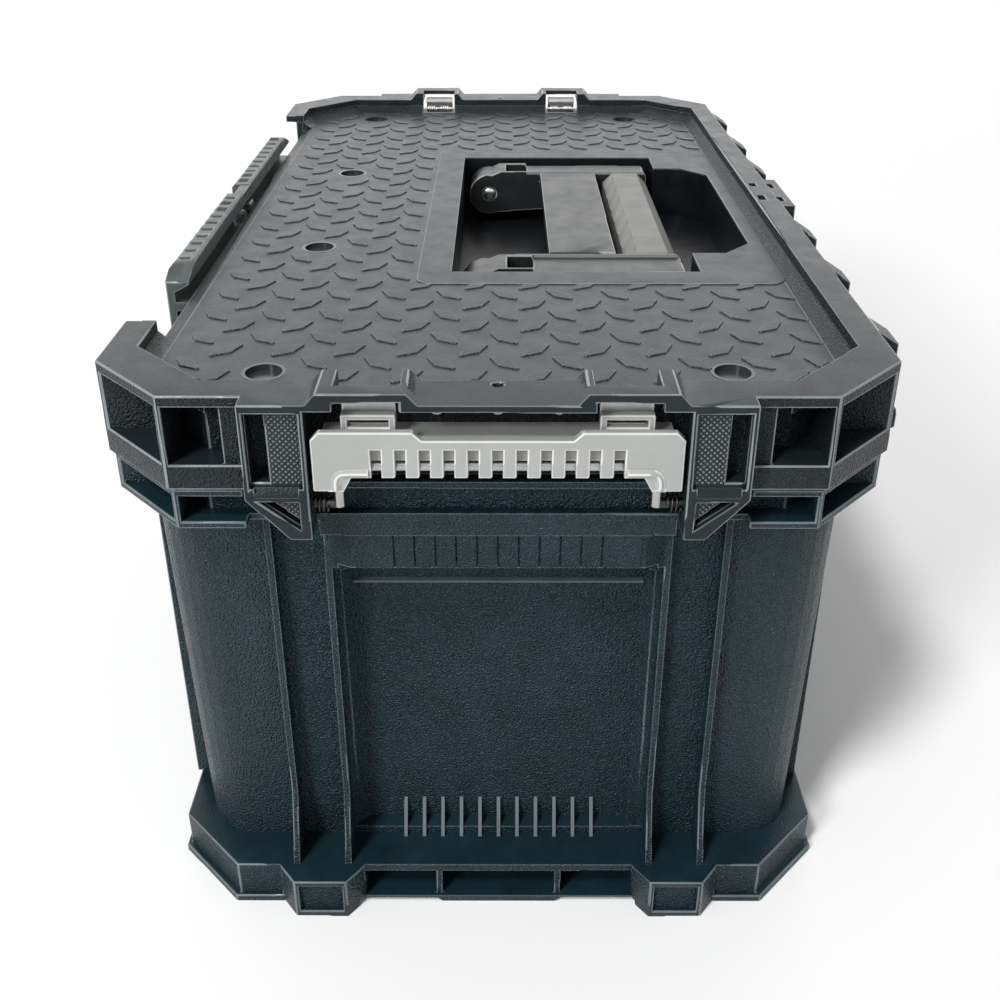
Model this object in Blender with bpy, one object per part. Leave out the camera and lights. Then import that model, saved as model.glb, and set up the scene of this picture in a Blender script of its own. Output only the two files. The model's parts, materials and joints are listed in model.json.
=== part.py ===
"""A large stackable tool box: ribbed tub, hinged lid with a fold-down handle, front latch and end levers.

Metres, +Z up. X runs along the box, -Y is the front with the latch, +Y the rear with the hinge.
The origin is on the ground under the middle of the box's outline.
"""

import math

import bmesh
import bpy
from mathutils import Matrix, Vector

# Clearances
FIT = 0.0003            # gap between pieces that seat on each other
RUN = 0.0006            # gap beside pieces that turn
REACH = 0.030           # how far a cutter stands out past what it cuts
SINK = 0.001            # how far a joined shape reaches into the shape that carries it

# Lid outline and heights
RIM_LENGTH = 0.561      # between the two flat corner faces
RIM_WIDTH = 0.326
RIM_CHAMFER = 0.033
END_STEP = 0.008        # the middle of each end stands out past the corners
BASE_HEIGHT = 0.240
LID_GAP = 0.001
LID_HEIGHT = 0.041
RIM_PLATE = 0.005       # flat top of the rim
END_PLATE = 0.003       # and where it hangs over the end levers
BAND_HEIGHT = 0.011     # lower band of the lid
POCKET_DEPTH = 0.0145   # open pockets between band and rim plate
LIP_END = 0.015         # width of the rim's top at the ends
LIP_SIDE = 0.0135       # and along the rear
TRAY_DEPTH = 0.010      # rim top down to the deck
TRAY_STEP = 0.005       # upright part of the tray's side
TRAY_SLOPE = 0.006      # run of the sloped part
DECK = 0.003
LID_INSET_END = 0.022   # rim outline to the lid's inner face
LID_INSET_SIDE = 0.020
POST = 0.003
FRONT_OPENING = 0.410   # the rim is missing along the front between the corner posts
LATCH_BAY = 0.300       # straight bay in the front for the latch

# Base tub
WALL = 0.0035
FLOOR = 0.004
BODY_INSET_END = 0.027  # rim outline to the top of the tub's wall
BODY_INSET_SIDE = 0.012
BODY_DRAFT = 0.004      # how much each wall leans in towards the floor
BODY_CORNER = 0.025
FLANGE_HEIGHT = 0.018
FLANGE_INSET = 0.0015
FLANGE_PLATE = 0.0032
FLANGE_POCKET = 0.011
FLANGE_MIDDLE = 0.008   # the flange steps back behind the end levers
SKIRT_INSET_END = 0.0087   # rim outline to the skirt
SKIRT_INSET_SIDE = 0.002
SKIRT_CHAMFER = 0.032
SKIRT_HEIGHT = 0.023
SKIRT_LIP = 0.004
SKIRT_LIP_OUT = 0.002
SKIRT_WALL = 0.022
FOOT_SPACING = 0.171
FOOT_WIDTH = 0.025
FOOT_OUT = 0.0087
FOOT_FLARE = 0.008
RIB = 0.003
RIB_OUT = 0.005
REAR_RIB_OUT = 0.0065
GUSSET_HEIGHT = 0.036
PANEL_DEPTH = 0.0105    # recess in each end wall
PANEL_WIDTH = 0.130
PANEL_TAPER = 0.005
PANEL_TOP = 0.185
PANEL_TOP_TAPER = 0.0135
PANEL_OUT = 0.0215       # how far the panel's slopes run on past the wall
LEDGE_BOTTOM = 0.195    # ledge over the panel
LEDGE_DRAFT = 0.0025
LEDGE_SPACE = 0.200     # floor of the space behind the ledge
SKIRT_POCKET = 0.0274   # half of the skirt's middle pocket
FINS = 11
FIN_PITCH = 0.00926
FIN = 0.0016
FIN_HEIGHT = 0.0175
FIN_RUN = 0.009
BEAD = 0.0012           # ridge on the flange that presses the seal
COLUMN_LENGTH = 0.040   # boxed columns on the front wall

# Seal and inner panel of the lid
SEAL_WIDTH = 0.005
SEAL_DEPTH = 0.005
SEAL_INSET_END = 0.0185
SEAL_INSET_SIDE = 0.0135
PANEL_PLATE = 0.003
PANEL_RISE = 0.006      # underside of the inner panel above the lid's lower edge

# Handle on the lid
WELL_LENGTH = 0.232
WELL_WIDTH = 0.127      # front to rear
WELL_DEPTH = 0.0355
WELL_WALL = 0.003
FINGER_INSET = 0.027    # rim outline to the rear of the finger pocket
FINGER_REACH = 0.033    # the pocket behind the well
FINGER_LENGTH = 0.174
FINGER_DEPTH = 0.032
FINGER_SIDE = 0.018     # straight part of the pocket's sides
FINGER_CUT = 0.0165     # its cut corners
HANDLE_IN = 0.017       # front of the well to the handle's pivot
HANDLE_DROP = 0.0165    # pivot below the deck
KNUCKLE_RADIUS = 0.0135
ARM_GAP = 0.009         # arm to the side of the well
ARM_WIDTH = 0.023
ARM_TOP_DROP = 0.001    # arm's top below the deck
ARM_DEPTH = 0.022
ARM_REACH = 0.105       # pivot to the arm's end
PLATE_START = 0.034
PLATE_WIDTH = 0.036
PLATE_THICK = 0.007
GRIP_START = 0.0755
GRIP_WIDTH = 0.0285
GRIP_DEPTH = 0.0235
GRIP_BEVEL = 0.006
CORE_WIDTH = 0.015
CORE_DEPTH = 0.013
HANDLE_PIN_RADIUS = 0.0042
BOSS_RADIUS = 0.0075
PIN_SEAT = 0.0025       # pin's depth in the side of the well

# Deck screws
SCREW_INSET_END = 0.0435   # rim outline to the corner screws
SCREW_INSET_SIDE = 0.0655
SCREW_X_INNER = 0.076
DIMPLE_RADIUS = 0.00825
DIMPLE_DEPTH = 0.010
DIMPLE_WALL = 0.002
SCREW_HEAD_RADIUS = 0.0048
SCREW_HEAD = 0.003
SCREW_RADIUS = 0.002
SCREW_DEPTH = 0.013

# Rear hinge
HINGE_OUT = 0.0035      # axis behind the rim's outline
HINGE_RISE = 0.007      # axis above the base's top
HINGE_RADIUS = 0.0062
HINGE_PIN_RADIUS = 0.0025
HINGE_INNER = 0.066     # inner hinges to the middle, and spacing to the next
HINGE_INSET_END = 0.0725   # rim outline to the outer hinges
HINGE_ARM = 0.016
HINGE_LUG = 0.010
HINGE_ROOM = 0.0085     # clear radius around the base's lugs
LUG_DROP = 0.016
REAR_BLOCK_LENGTH = 0.056
REAR_BLOCK_OUT = 0.008
REAR_BLOCK_HEIGHT = 0.017
REAR_SLOT = 0.009
REAR_SLOT_WIDTH = 0.0045
REAR_SLOT_EDGE = 0.0063   # outer slots to the block's face

# Front latch
LATCH_LENGTH = 0.290
LATCH_PLATE = 0.004
LATCH_FACE_INSET = 0.0005
LATCH_AXIS_DROP = 0.028   # pivot below the base's top
LATCH_AXIS_INSET = 0.0065
LATCH_KNUCKLE = 0.0048
LATCH_PIN_RADIUS = 0.002
LATCH_BAR_WIDTH = 0.0115
LATCH_BAR_HEIGHT = 0.007
LATCH_RISE = 0.001        # latch's top above the rim
LATCH_LIP = 0.0045
LATCH_END_CUT = 0.017
LATCH_END_DROP = 0.006
LATCH_NOTCH = 0.020
CATCH_OUT = 0.0075
CATCH_HEIGHT = 0.007
CATCH_DROP = 0.020        # catch's top below the rim
CATCH_LENGTH = 0.236
LATCH_LUGS = (0.045, 0.118)
LATCH_LUG = 0.012
EYE_THICK = 0.010
EYE_OUT = 0.0115
EYE_HEIGHT = 0.013
EYE_HOLE = 0.0032
EYE_HOLE_IN = 0.0048

# Columns and end levers
COLUMN_SPACING = 0.171
COLUMN_WIDTH = 0.025
COLUMN_DROP = 0.018       # below the lid's lower edge
COLUMN_DEPTH = 0.0145     # of the part that hangs below
COLUMN_RECESS = 0.0025
COLUMN_MARGIN = 0.004
COLUMN_TIP = 0.009        # width of the lowest edge
SHOULDER_WIDTH = 0.009    # step beside each column
SHOULDER_BACK = 0.0095
BUMP_INNER = 0.029
BUMP_OUTER = 0.073
BUMP_SLOPE = 0.005
BUMP_HEIGHT = 0.0047
BUMP_STRIP = 0.0085       # outer strip that bridges the tab's slot
BUMP_THICK = 0.0037
TAB_Y = 0.0495
TAB_WIDTH = 0.021
TAB_SLOT_SIDE = 0.002
TAB_SLOT_FLOOR = 0.006    # slot's floor below the rim's top
RIM_HOLE_RADIUS = 0.0023
RIM_HOLE_INSET = 0.011
BAY_FLOOR = 0.0125        # rim outline to the back of the lever's bay
LEVER_AXIS_INSET = 0.0085 # pivot behind the outermost face
LEVER_AXIS_DROP = 0.005   # pivot below the base's top
LEVER_FACE_INSET = 0.002
LEVER_PLATE = 0.0035
LEVER_HALF = 0.0715
LEVER_RISE = 0.0345       # plate's raised ends above the pivot
LEVER_DIP = 0.0035        # and the ledge and the plate's middle below them
LEVER_FOOT = 0.0088       # plate's lowest edge above the pivot
LEVER_LEDGE = 0.003
LEVER_LEDGE_DEPTH = 0.0165
LEVER_CORNER = 0.0033
RAISED_IN = 0.029         # inner edge of the raised ends
ELBOW_IN = 0.0565         # inner edge of the plate's two feet
TEETH = 10
TOOTH_PITCH = 0.00935
TOOTH = 0.0053
TOOTH_EDGE = 0.015        # teeth's lower edge above the pivot
TOOTH_DEPTH = 0.0105
SLOT_TOP = 0.0268
BACK_PLATE = 0.0025
BACK_SET = 0.003
BACK_BOTTOM = 0.0205
SLEEVE_RADIUS = 0.0022    # round bulge of the plate over the rod
SLEEVE_SINK = 0.0008
RISER_SET = 0.0045        # riser's outer face behind the lever's face
RISER_THICK = 0.004
RISER_TOP = 0.0398
WINDOW_WIDTH = 0.0158
WINDOW_BOTTOM = 0.0345
WINDOW_HEIGHT = 0.003
ROD_RADIUS = 0.0024
ROD_RISE = 0.017          # grip run of the rod above the pivot
ROD_LEG = 0.0627
ROD_STUB = 0.082
ROD_BEND = 0.0045
TAB_THICK = 0.0027
TAB_TOP = 0.0465
NOSE_OUT = 0.011
NOSE_HEIGHT = 0.003
SPRING_WIRE = 0.00055
SPRING_RADIUS = 0.0034
SPRING_CURLS = 3
SPRING_PITCH = 0.0018
SPRING_STEPS = 8
RIM_SCREW_PITCH = 0.024
RIM_SCREW_DROP = 0.012
RIM_SCREW_RADIUS = 0.0028
RIM_SCREW_CROWN = 0.0018
RIM_SCREW_HEAD = 0.0018
RIM_SCREW_SHANK = 0.0012
RIM_SCREW_DEPTH = 0.003

# Sides of the round shapes
ROUND = 24
BARREL_ROUND = 16
SMALL_ROUND = 12
CORNER_STEPS = 6
BEND_STEPS = 4
ROD_RESOLUTION = 2
WIRE_RESOLUTION = 1
FLAT_ANGLE = math.radians(0.2)   # faces closer than this in direction become one
SHARP_ANGLE = math.radians(30)   # edges sharper than this stay sharp
EMPTY_SIZE = 0.02

# Places worked out from the sizes above
HALF_L = RIM_LENGTH / 2
HALF_W = RIM_WIDTH / 2
END_X = HALF_L + END_STEP
BODY_TOP_LENGTH = RIM_LENGTH - 2 * BODY_INSET_END
BODY_TOP_WIDTH = RIM_WIDTH - 2 * BODY_INSET_SIDE
SKIRT_LENGTH = RIM_LENGTH - 2 * SKIRT_INSET_END
SKIRT_WIDTH = RIM_WIDTH - 2 * SKIRT_INSET_SIDE
LID_BOTTOM = BASE_HEIGHT + LID_GAP
RIM_TOP = LID_BOTTOM + LID_HEIGHT
PLATE_BOTTOM = RIM_TOP - RIM_PLATE
END_PLATE_BOTTOM = RIM_TOP - END_PLATE
BAND_TOP = LID_BOTTOM + BAND_HEIGHT
DECK_TOP = RIM_TOP - TRAY_DEPTH
CORE_L = HALF_L - POCKET_DEPTH
CORE_W = HALF_W - POCKET_DEPTH
BAY_X = HALF_L - BAY_FLOOR
FLANGE_BOTTOM = BASE_HEIGHT - FLANGE_HEIGHT
FLANGE_MIDDLE_X = HALF_L - FLANGE_MIDDLE
FLOOR_BOTTOM = SKIRT_HEIGHT - FLOOR
COLUMN_IN = COLUMN_SPACING / 2 - COLUMN_WIDTH / 2
COLUMN_OUT = COLUMN_SPACING / 2 + COLUMN_WIDTH / 2
SHOULDER_OUT = COLUMN_OUT + SHOULDER_WIDTH
HINGE_Y = HALF_W + HINGE_OUT
HINGE_Z = BASE_HEIGHT + HINGE_RISE
HINGE_PLACES = (HINGE_INNER, 2 * HINGE_INNER, HALF_L - HINGE_INSET_END)
SCREW_X_OUTER = HALF_L - SCREW_INSET_END
SCREW_Y = HALF_W - SCREW_INSET_SIDE
FINGER_REAR = HALF_W - FINGER_INSET
WELL_REAR = FINGER_REAR - FINGER_REACH
WELL_FRONT = WELL_REAR - WELL_WIDTH
HANDLE_Y = WELL_FRONT + HANDLE_IN
HANDLE_Z = DECK_TOP - HANDLE_DROP
LATCH_Y = -HALF_W + LATCH_AXIS_INSET
LATCH_Z = BASE_HEIGHT - LATCH_AXIS_DROP
LEVER_X = END_X - LEVER_AXIS_INSET
LEVER_Z = BASE_HEIGHT - LEVER_AXIS_DROP
LEVER_FACE = END_X - LEVER_FACE_INSET
LEDGE_Z = LEVER_Z + LEVER_RISE - LEVER_DIP
RIM_SCREW_Z = RIM_TOP - RIM_SCREW_DROP
PANEL_Z = LID_BOTTOM + PANEL_RISE
DIMPLE_FLOOR = DECK_TOP - DIMPLE_DEPTH
ARM_OUT = WELL_LENGTH / 2 - ARM_GAP
ARM_IN = ARM_OUT - ARM_WIDTH
WELL_FLOOR = DECK_TOP - WELL_DEPTH
MIDDLE_Y = (HALF_W - HINGE_Y - HINGE_RADIUS) / 2
SIDES = (-1, 1)
ENDS = (("right", 1), ("left", -1))


def octagon(half_l, half_w, chamfer):
    """Plan outline with four cut corners."""
    return [
        (half_l, chamfer - half_w), (half_l, half_w - chamfer),
        (half_l - chamfer, half_w), (chamfer - half_l, half_w),
        (-half_l, half_w - chamfer), (-half_l, chamfer - half_w),
        (chamfer - half_l, -half_w), (half_l - chamfer, -half_w),
    ]


def rounded(half_l, half_w, radius):
    """Plan outline with four round corners."""
    outline = []
    for quarter, (sx, sy) in enumerate(((1, 1), (-1, 1), (-1, -1), (1, -1))):
        for step in range(CORNER_STEPS + 1):
            angle = math.pi / 2 * (quarter + step / CORNER_STEPS)
            outline.append((
                sx * (half_l - radius) + radius * math.cos(angle),
                sy * (half_w - radius) + radius * math.sin(angle),
            ))
    return outline


def circle(centre, radius, sides):
    return [
        (centre[0] + radius * math.cos(2 * math.pi * k / sides),
         centre[1] + radius * math.sin(2 * math.pi * k / sides))
        for k in range(sides)
    ]


def lift(point, axis, height):
    """Puts a point of an outline at a height along the axis that the outline is drawn across."""
    a, b = point
    return {"X": (height, a, b), "Y": (a, height, b), "Z": (a, b, height)}[axis]


def solid(name, bm):
    """Closes a bmesh into an object of the scene."""
    bmesh.ops.recalc_face_normals(bm, faces=bm.faces)
    mesh = bpy.data.meshes.new(name)
    bm.to_mesh(mesh)
    bm.free()
    made = bpy.data.objects.new(name, mesh)
    bpy.context.scene.collection.objects.link(made)
    return made


def loft(start_outline, end_outline, axis, start, end):
    """A closed solid between two outlines of as many points."""
    bm = bmesh.new()
    rings = []
    for outline, height in ((start_outline, start), (end_outline, end)):
        rings.append([bm.verts.new(lift(point, axis, height)) for point in outline])
    low, high = rings
    for k in range(len(low)):
        bm.faces.new((low[k - 1], low[k], high[k], high[k - 1]))
    bm.faces.new(low)
    bm.faces.new(high)
    return solid("shape", bm)


def prism(outline, axis, start, end):
    return loft(outline, outline, axis, start, end)


def box(x0, x1, y0, y1, z0, z1):
    return prism([(x0, y0), (x1, y0), (x1, y1), (x0, y1)], "Z", z0, z1)


def end_box(side, x0, x1, y0, y1, z0, z1):
    """A box at the right end, or its mirror image at the left end."""
    return box(side * x0, side * x1, y0, y1, z0, z1)


def end_prism(side, outline, axis, start, end):
    """A prism at the right end, or its mirror image at the left end."""
    if axis == "X":
        return prism(outline, "X", side * start, side * end)
    return prism([(side * x, other) for x, other in outline], axis, start, end)


def rod(axis, centre, radius, start, end, sides=ROUND):
    return prism(circle(centre, radius, sides), axis, start, end)


def combine(target, operation, others):
    """Joins or cuts with a list of shapes, which are used up."""
    group = bpy.data.collections.new("operands")
    bpy.context.scene.collection.children.link(group)
    for other in others:
        bpy.context.scene.collection.objects.unlink(other)
        group.objects.link(other)
    boolean = target.modifiers.new("boolean", "BOOLEAN")
    boolean.operation = operation
    boolean.solver = "EXACT"
    boolean.operand_type = "COLLECTION"
    boolean.collection = group
    evaluated = target.evaluated_get(bpy.context.evaluated_depsgraph_get())
    mesh = bpy.data.meshes.new_from_object(evaluated)
    target.modifiers.clear()
    target.data = mesh
    for other in others:
        bpy.data.objects.remove(other)
    bpy.data.collections.remove(group)
    return target


def join(target, *others):
    return combine(target, "UNION", others)


def cut(target, *others):
    return combine(target, "DIFFERENCE", others)


def ring(outer, inner, z0, z1):
    """A closed band between two plan outlines."""
    return cut(prism(outer, "Z", z0, z1), prism(inner, "Z", z0 - REACH, z1 + REACH))


def material(name, colour, roughness, metallic=0.0):
    made = bpy.data.materials.new(name)
    made.use_nodes = True
    shader = made.node_tree.nodes["Principled BSDF"]
    shader.inputs["Base Color"].default_value = (*colour, 1.0)
    shader.inputs["Roughness"].default_value = roughness
    shader.inputs["Metallic"].default_value = metallic
    return made


def axis_empty(name, parent, place):
    """An empty on a joint's axis, for the pieces that turn about it."""
    empty = bpy.data.objects.new(name, None)
    empty.empty_display_size = EMPTY_SIZE
    empty.parent = parent
    empty.location = place
    bpy.context.scene.collection.objects.link(empty)
    return empty


def merge_flat_faces(mesh):
    """Takes out the points and edges that lie flat between faces after the cuts."""
    bm = bmesh.new()
    bm.from_mesh(mesh)
    bmesh.ops.dissolve_limit(bm, angle_limit=FLAT_ANGLE, verts=bm.verts, edges=bm.edges)
    bm.to_mesh(mesh)
    bm.free()


def place(piece, name, finish, parent):
    """Names a piece, gives it its material and hangs it on its parent without moving it."""
    merge_flat_faces(piece.data)
    piece.name = name
    piece.data.name = name
    piece.data.materials.clear()
    piece.data.materials.append(finish)
    piece.data.shade_smooth()
    piece.data.set_sharp_from_angle(angle=SHARP_ANGLE)
    piece.parent = parent
    if parent.parent:
        piece.location = -parent.location
    return piece


def side_posts(places, y_in, y_out, z0, z1):
    """Upright posts across a pocket on the rear or front side."""
    return [box(x - POST / 2, x + POST / 2, y_in, y_out, z0, z1) for x in places]


def corner_posts(half_l, half_w, z0, z1):
    """Upright posts across the pockets beside the four cut corners."""
    posts = []
    edge = half_w - RIM_CHAMFER
    for sx in SIDES:
        for sy in SIDES:
            y = sy * edge
            posts.append(end_box(sx, half_l - REACH, half_l, y - POST / 2, y + POST / 2, z0, z1))
            x = sx * (half_l - RIM_CHAMFER)
            posts += side_posts((x,), sy * (half_w - REACH), sy * half_w, z0, z1)
    return posts


def hinge_places():
    return [side * x for x in HINGE_PLACES for side in SIDES]


def base_wall_shape(inset, z0, z1):
    """The tub's drafted body, or the space inside it, between two heights."""
    outlines = []
    for z in (z0, z1):
        lean = inset + BODY_DRAFT * (FLANGE_BOTTOM - z) / (FLANGE_BOTTOM - SKIRT_HEIGHT)
        outlines.append(rounded(
            BODY_TOP_LENGTH / 2 - lean, BODY_TOP_WIDTH / 2 - lean, BODY_CORNER - inset))
    return loft(*outlines, "Z", z0, z1)


def end_panel(side, grow):
    """The sunk panel of an end wall, or with a positive grow its inner shell."""
    wall = BODY_TOP_LENGTH / 2
    rectangles = []
    for half, low, high in (
        (PANEL_WIDTH / 2 + PANEL_TAPER, SKIRT_HEIGHT, PANEL_TOP + PANEL_TOP_TAPER),
        (PANEL_WIDTH / 2, SKIRT_HEIGHT + PANEL_TAPER, PANEL_TOP),
    ):
        rectangles.append([
            (-half - grow, low - grow), (half + grow, low - grow),
            (half + grow, high + grow), (-half - grow, high + grow),
        ])
    deep = wall - PANEL_DEPTH - grow
    return loft(*rectangles, "X", side * (deep + PANEL_DEPTH + PANEL_OUT), side * deep)


def ledge_space(side):
    """Space behind the ledge of an end wall, open to the inside of the tub."""
    wall = BODY_TOP_LENGTH / 2
    half = COLUMN_IN - WALL
    return end_box(
        side, wall - 2 * WALL, FLANGE_MIDDLE_X - LEDGE_DRAFT - WALL, -half, half,
        LEDGE_SPACE, FLANGE_BOTTOM - SINK)


def tub_body():
    body = base_wall_shape(0.0, FLOOR_BOTTOM, BASE_HEIGHT - FLANGE_PLATE)
    skirt_l, skirt_w = SKIRT_LENGTH / 2, SKIRT_WIDTH / 2
    lip = octagon(skirt_l, skirt_w, SKIRT_CHAMFER)
    face = octagon(skirt_l - SKIRT_LIP_OUT, skirt_w - SKIRT_LIP_OUT, SKIRT_CHAMFER)
    flange = octagon(HALF_L - FLANGE_INSET, HALF_W - FLANGE_INSET, RIM_CHAMFER)
    join(
        body,
        prism(lip, "Z", 0.0, SKIRT_LIP),
        prism(face, "Z", SKIRT_LIP - SINK, SKIRT_HEIGHT),
        prism(flange, "Z", FLANGE_BOTTOM, BASE_HEIGHT),
    )
    flange_l, flange_w = HALF_L - FLANGE_INSET, HALF_W - FLANGE_INSET
    pocket_z = (FLANGE_BOTTOM + FLANGE_PLATE, BASE_HEIGHT - FLANGE_PLATE)
    pockets = ring(
        octagon(HALF_L + REACH, HALF_W + REACH, RIM_CHAMFER),
        octagon(flange_l - FLANGE_POCKET, flange_w - FLANGE_POCKET, RIM_CHAMFER),
        *pocket_z)
    hinge_half = HINGE_ARM / 2 + RUN + HINGE_LUG + SINK
    webs = [
        box(x - hinge_half, x + hinge_half, flange_w - REACH, flange_w, FLANGE_BOTTOM, BASE_HEIGHT)
        for x in hinge_places()
    ]
    cut(pockets, *corner_posts(flange_l, flange_w, FLANGE_BOTTOM, BASE_HEIGHT), *webs)
    cuts = [pockets]
    for side in SIDES:
        cuts.append(end_box(
            side, FLANGE_MIDDLE_X, END_X + REACH, -COLUMN_OUT - POST, COLUMN_OUT + POST,
            FLANGE_BOTTOM - SINK, BASE_HEIGHT + REACH))
    bay = LATCH_BAY / 2
    cuts.append(box(
        -bay, bay, -HALF_W - REACH, -HALF_W + FLANGE_POCKET + FLANGE_INSET,
        FLANGE_BOTTOM - SINK, BASE_HEIGHT + REACH))
    return cut(body, *cuts)


def tub_end(side):
    """Ribs, gussets, feet and the ledge of one end wall."""
    wall = BODY_TOP_LENGTH / 2
    shapes = []
    ledge = [
        (wall - WALL, FLANGE_BOTTOM + FLANGE_PLATE), (FLANGE_MIDDLE_X, FLANGE_BOTTOM + FLANGE_PLATE),
        (FLANGE_MIDDLE_X, FLANGE_BOTTOM - SINK), (FLANGE_MIDDLE_X - LEDGE_DRAFT, LEDGE_BOTTOM),
        (wall - WALL, PANEL_TOP),
    ]
    shapes.append(end_prism(side, ledge, "Y", -COLUMN_IN, COLUMN_IN))
    root, rib, low = wall - BODY_DRAFT - SINK, wall + RIB_OUT, SKIRT_HEIGHT - SINK
    gusset = [
        (root, low), (SKIRT_LENGTH / 2 - SKIRT_LIP_OUT, low), (rib, SKIRT_HEIGHT + GUSSET_HEIGHT),
        (rib, FLANGE_BOTTOM + SINK), (root, FLANGE_BOTTOM + SINK),
    ]
    for y in (COLUMN_IN, COLUMN_OUT):
        for sy in SIDES:
            shapes.append(end_prism(side, gusset, "Y", sy * y - RIB / 2, sy * y + RIB / 2))
    skirt = SKIRT_LENGTH / 2
    for sy in SIDES:
        y, half = sy * FOOT_SPACING / 2, FOOT_WIDTH / 2
        flare = half + FOOT_FLARE
        foot = [
            (skirt - SKIRT_WALL, y - flare), (skirt - SINK, y - flare),
            (skirt + FOOT_OUT, y - half), (skirt + FOOT_OUT, y + half),
            (skirt - SINK, y + flare), (skirt - SKIRT_WALL, y + flare),
        ]
        shapes.append(end_prism(side, foot, "Z", 0.0, SKIRT_HEIGHT))
    return shapes


def tub_end_fins(side):
    """The row of small fins at the foot of the sunk panel."""
    deep = BODY_TOP_LENGTH / 2 - PANEL_DEPTH
    fin = [
        (deep - SINK, SKIRT_HEIGHT - SINK), (deep + FIN_RUN, SKIRT_HEIGHT - SINK),
        (deep, SKIRT_HEIGHT + FIN_HEIGHT), (deep - SINK, SKIRT_HEIGHT + FIN_HEIGHT),
    ]
    shapes = []
    for k in range(FINS):
        y = (k - (FINS - 1) / 2) * FIN_PITCH
        shapes.append(end_prism(side, fin, "Y", y - FIN / 2, y + FIN / 2))
    return shapes


def tub_end_cuts(side):
    """Pockets in the face of the skirt and of the feet."""
    skirt = SKIRT_LENGTH / 2
    low, high = SKIRT_LIP, SKIRT_HEIGHT - SKIRT_LIP
    inner = FOOT_SPACING / 2 - FOOT_WIDTH / 2 - FOOT_FLARE
    middle = SKIRT_POCKET
    depth = SKIRT_WALL - FLOOR
    cuts = [end_box(side, skirt - depth, skirt + REACH, -middle, middle, low, high)]
    for sy in SIDES:
        near, far = sorted((sy * (middle + POST), sy * inner))
        cuts.append(end_box(side, skirt - depth, skirt + REACH, near, far, low, high))
        y = sy * FOOT_SPACING / 2
        half = FOOT_WIDTH / 2 - FLOOR
        cuts.append(end_box(side, skirt, skirt + REACH, y - half, y + half, low, high))
    return cuts


def tub_sides():
    """Ribs of the rear wall, columns of the front wall and the lugs of both pivots."""
    wall = BODY_TOP_WIDTH / 2
    shapes = []
    for x in [0.0] + hinge_places():
        shapes.append(box(
            x - RIB / 2, x + RIB / 2, wall - BODY_DRAFT - SINK, wall + REAR_RIB_OUT,
            SKIRT_HEIGHT - SINK, FLANGE_BOTTOM + SINK))
    outer = FRONT_OPENING / 2 + FLANGE_INSET
    for side in SIDES:
        shapes.append(end_box(
            side, outer - COLUMN_LENGTH, outer, -HALF_W + FLANGE_INSET, -wall + BODY_DRAFT + SINK,
            SKIRT_HEIGHT - SINK, FLANGE_BOTTOM + SINK))
    lug = [
        (HALF_W - FLANGE_POCKET, HINGE_Z - LUG_DROP), (HINGE_Y + HINGE_RADIUS, HINGE_Z - HINGE_RADIUS),
        (HINGE_Y + HINGE_RADIUS, HINGE_Z), (HINGE_Y - HINGE_RADIUS, HINGE_Z),
        (HINGE_Y - HINGE_RADIUS, BASE_HEIGHT - SINK), (HALF_W - FLANGE_POCKET, BASE_HEIGHT - SINK),
    ]
    for x in hinge_places():
        for side in SIDES:
            start = x + side * (HINGE_ARM / 2 + RUN)
            end = start + side * HINGE_LUG
            shapes.append(prism(lug, "X", start, end))
            shapes.append(rod("X", (HINGE_Y, HINGE_Z), HINGE_RADIUS, start, end, BARREL_ROUND))
    for x in [side * place for place in LATCH_LUGS for side in SIDES]:
        shapes.append(box(
            x - LATCH_LUG / 2, x + LATCH_LUG / 2, LATCH_Y - LATCH_KNUCKLE, -wall + BODY_DRAFT + SINK,
            LATCH_Z - LATCH_KNUCKLE, LATCH_Z + LATCH_KNUCKLE))
    return shapes


def make_base_tub():
    body = tub_body()
    space = base_wall_shape(WALL, SKIRT_HEIGHT, BASE_HEIGHT + REACH)
    cut(space, end_panel(1, WALL), end_panel(-1, WALL))
    seal_l, seal_w = HALF_L - SEAL_INSET_END, HALF_W - SEAL_INSET_SIDE
    bead = ring(
        octagon(seal_l + BEAD, seal_w + BEAD, RIM_CHAMFER),
        octagon(seal_l - BEAD, seal_w - BEAD, RIM_CHAMFER),
        BASE_HEIGHT - SINK, BASE_HEIGHT + BEAD)
    shapes = [bead] + tub_sides()
    for side in SIDES:
        shapes += tub_end(side)
    join(body, *shapes)
    hollow = box(
        SKIRT_WALL - SKIRT_LENGTH / 2, SKIRT_LENGTH / 2 - SKIRT_WALL,
        SKIRT_WALL - SKIRT_WIDTH / 2, SKIRT_WIDTH / 2 - SKIRT_WALL, -REACH, FLOOR_BOTTOM)
    cuts = [space, hollow]
    for side in SIDES:
        cuts += [end_panel(side, 0.0), ledge_space(side)] + tub_end_cuts(side)
    cuts.append(rod("X", (HINGE_Y, HINGE_Z), HINGE_PIN_RADIUS + FIT, -HALF_L, HALF_L, SMALL_ROUND))
    cuts.append(rod(
        "X", (LATCH_Y, LATCH_Z), LATCH_PIN_RADIUS + FIT, -LATCH_BAY / 2, LATCH_BAY / 2, SMALL_ROUND))
    cut(body, *cuts)
    return join(body, *tub_end_fins(1), *tub_end_fins(-1))


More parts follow.
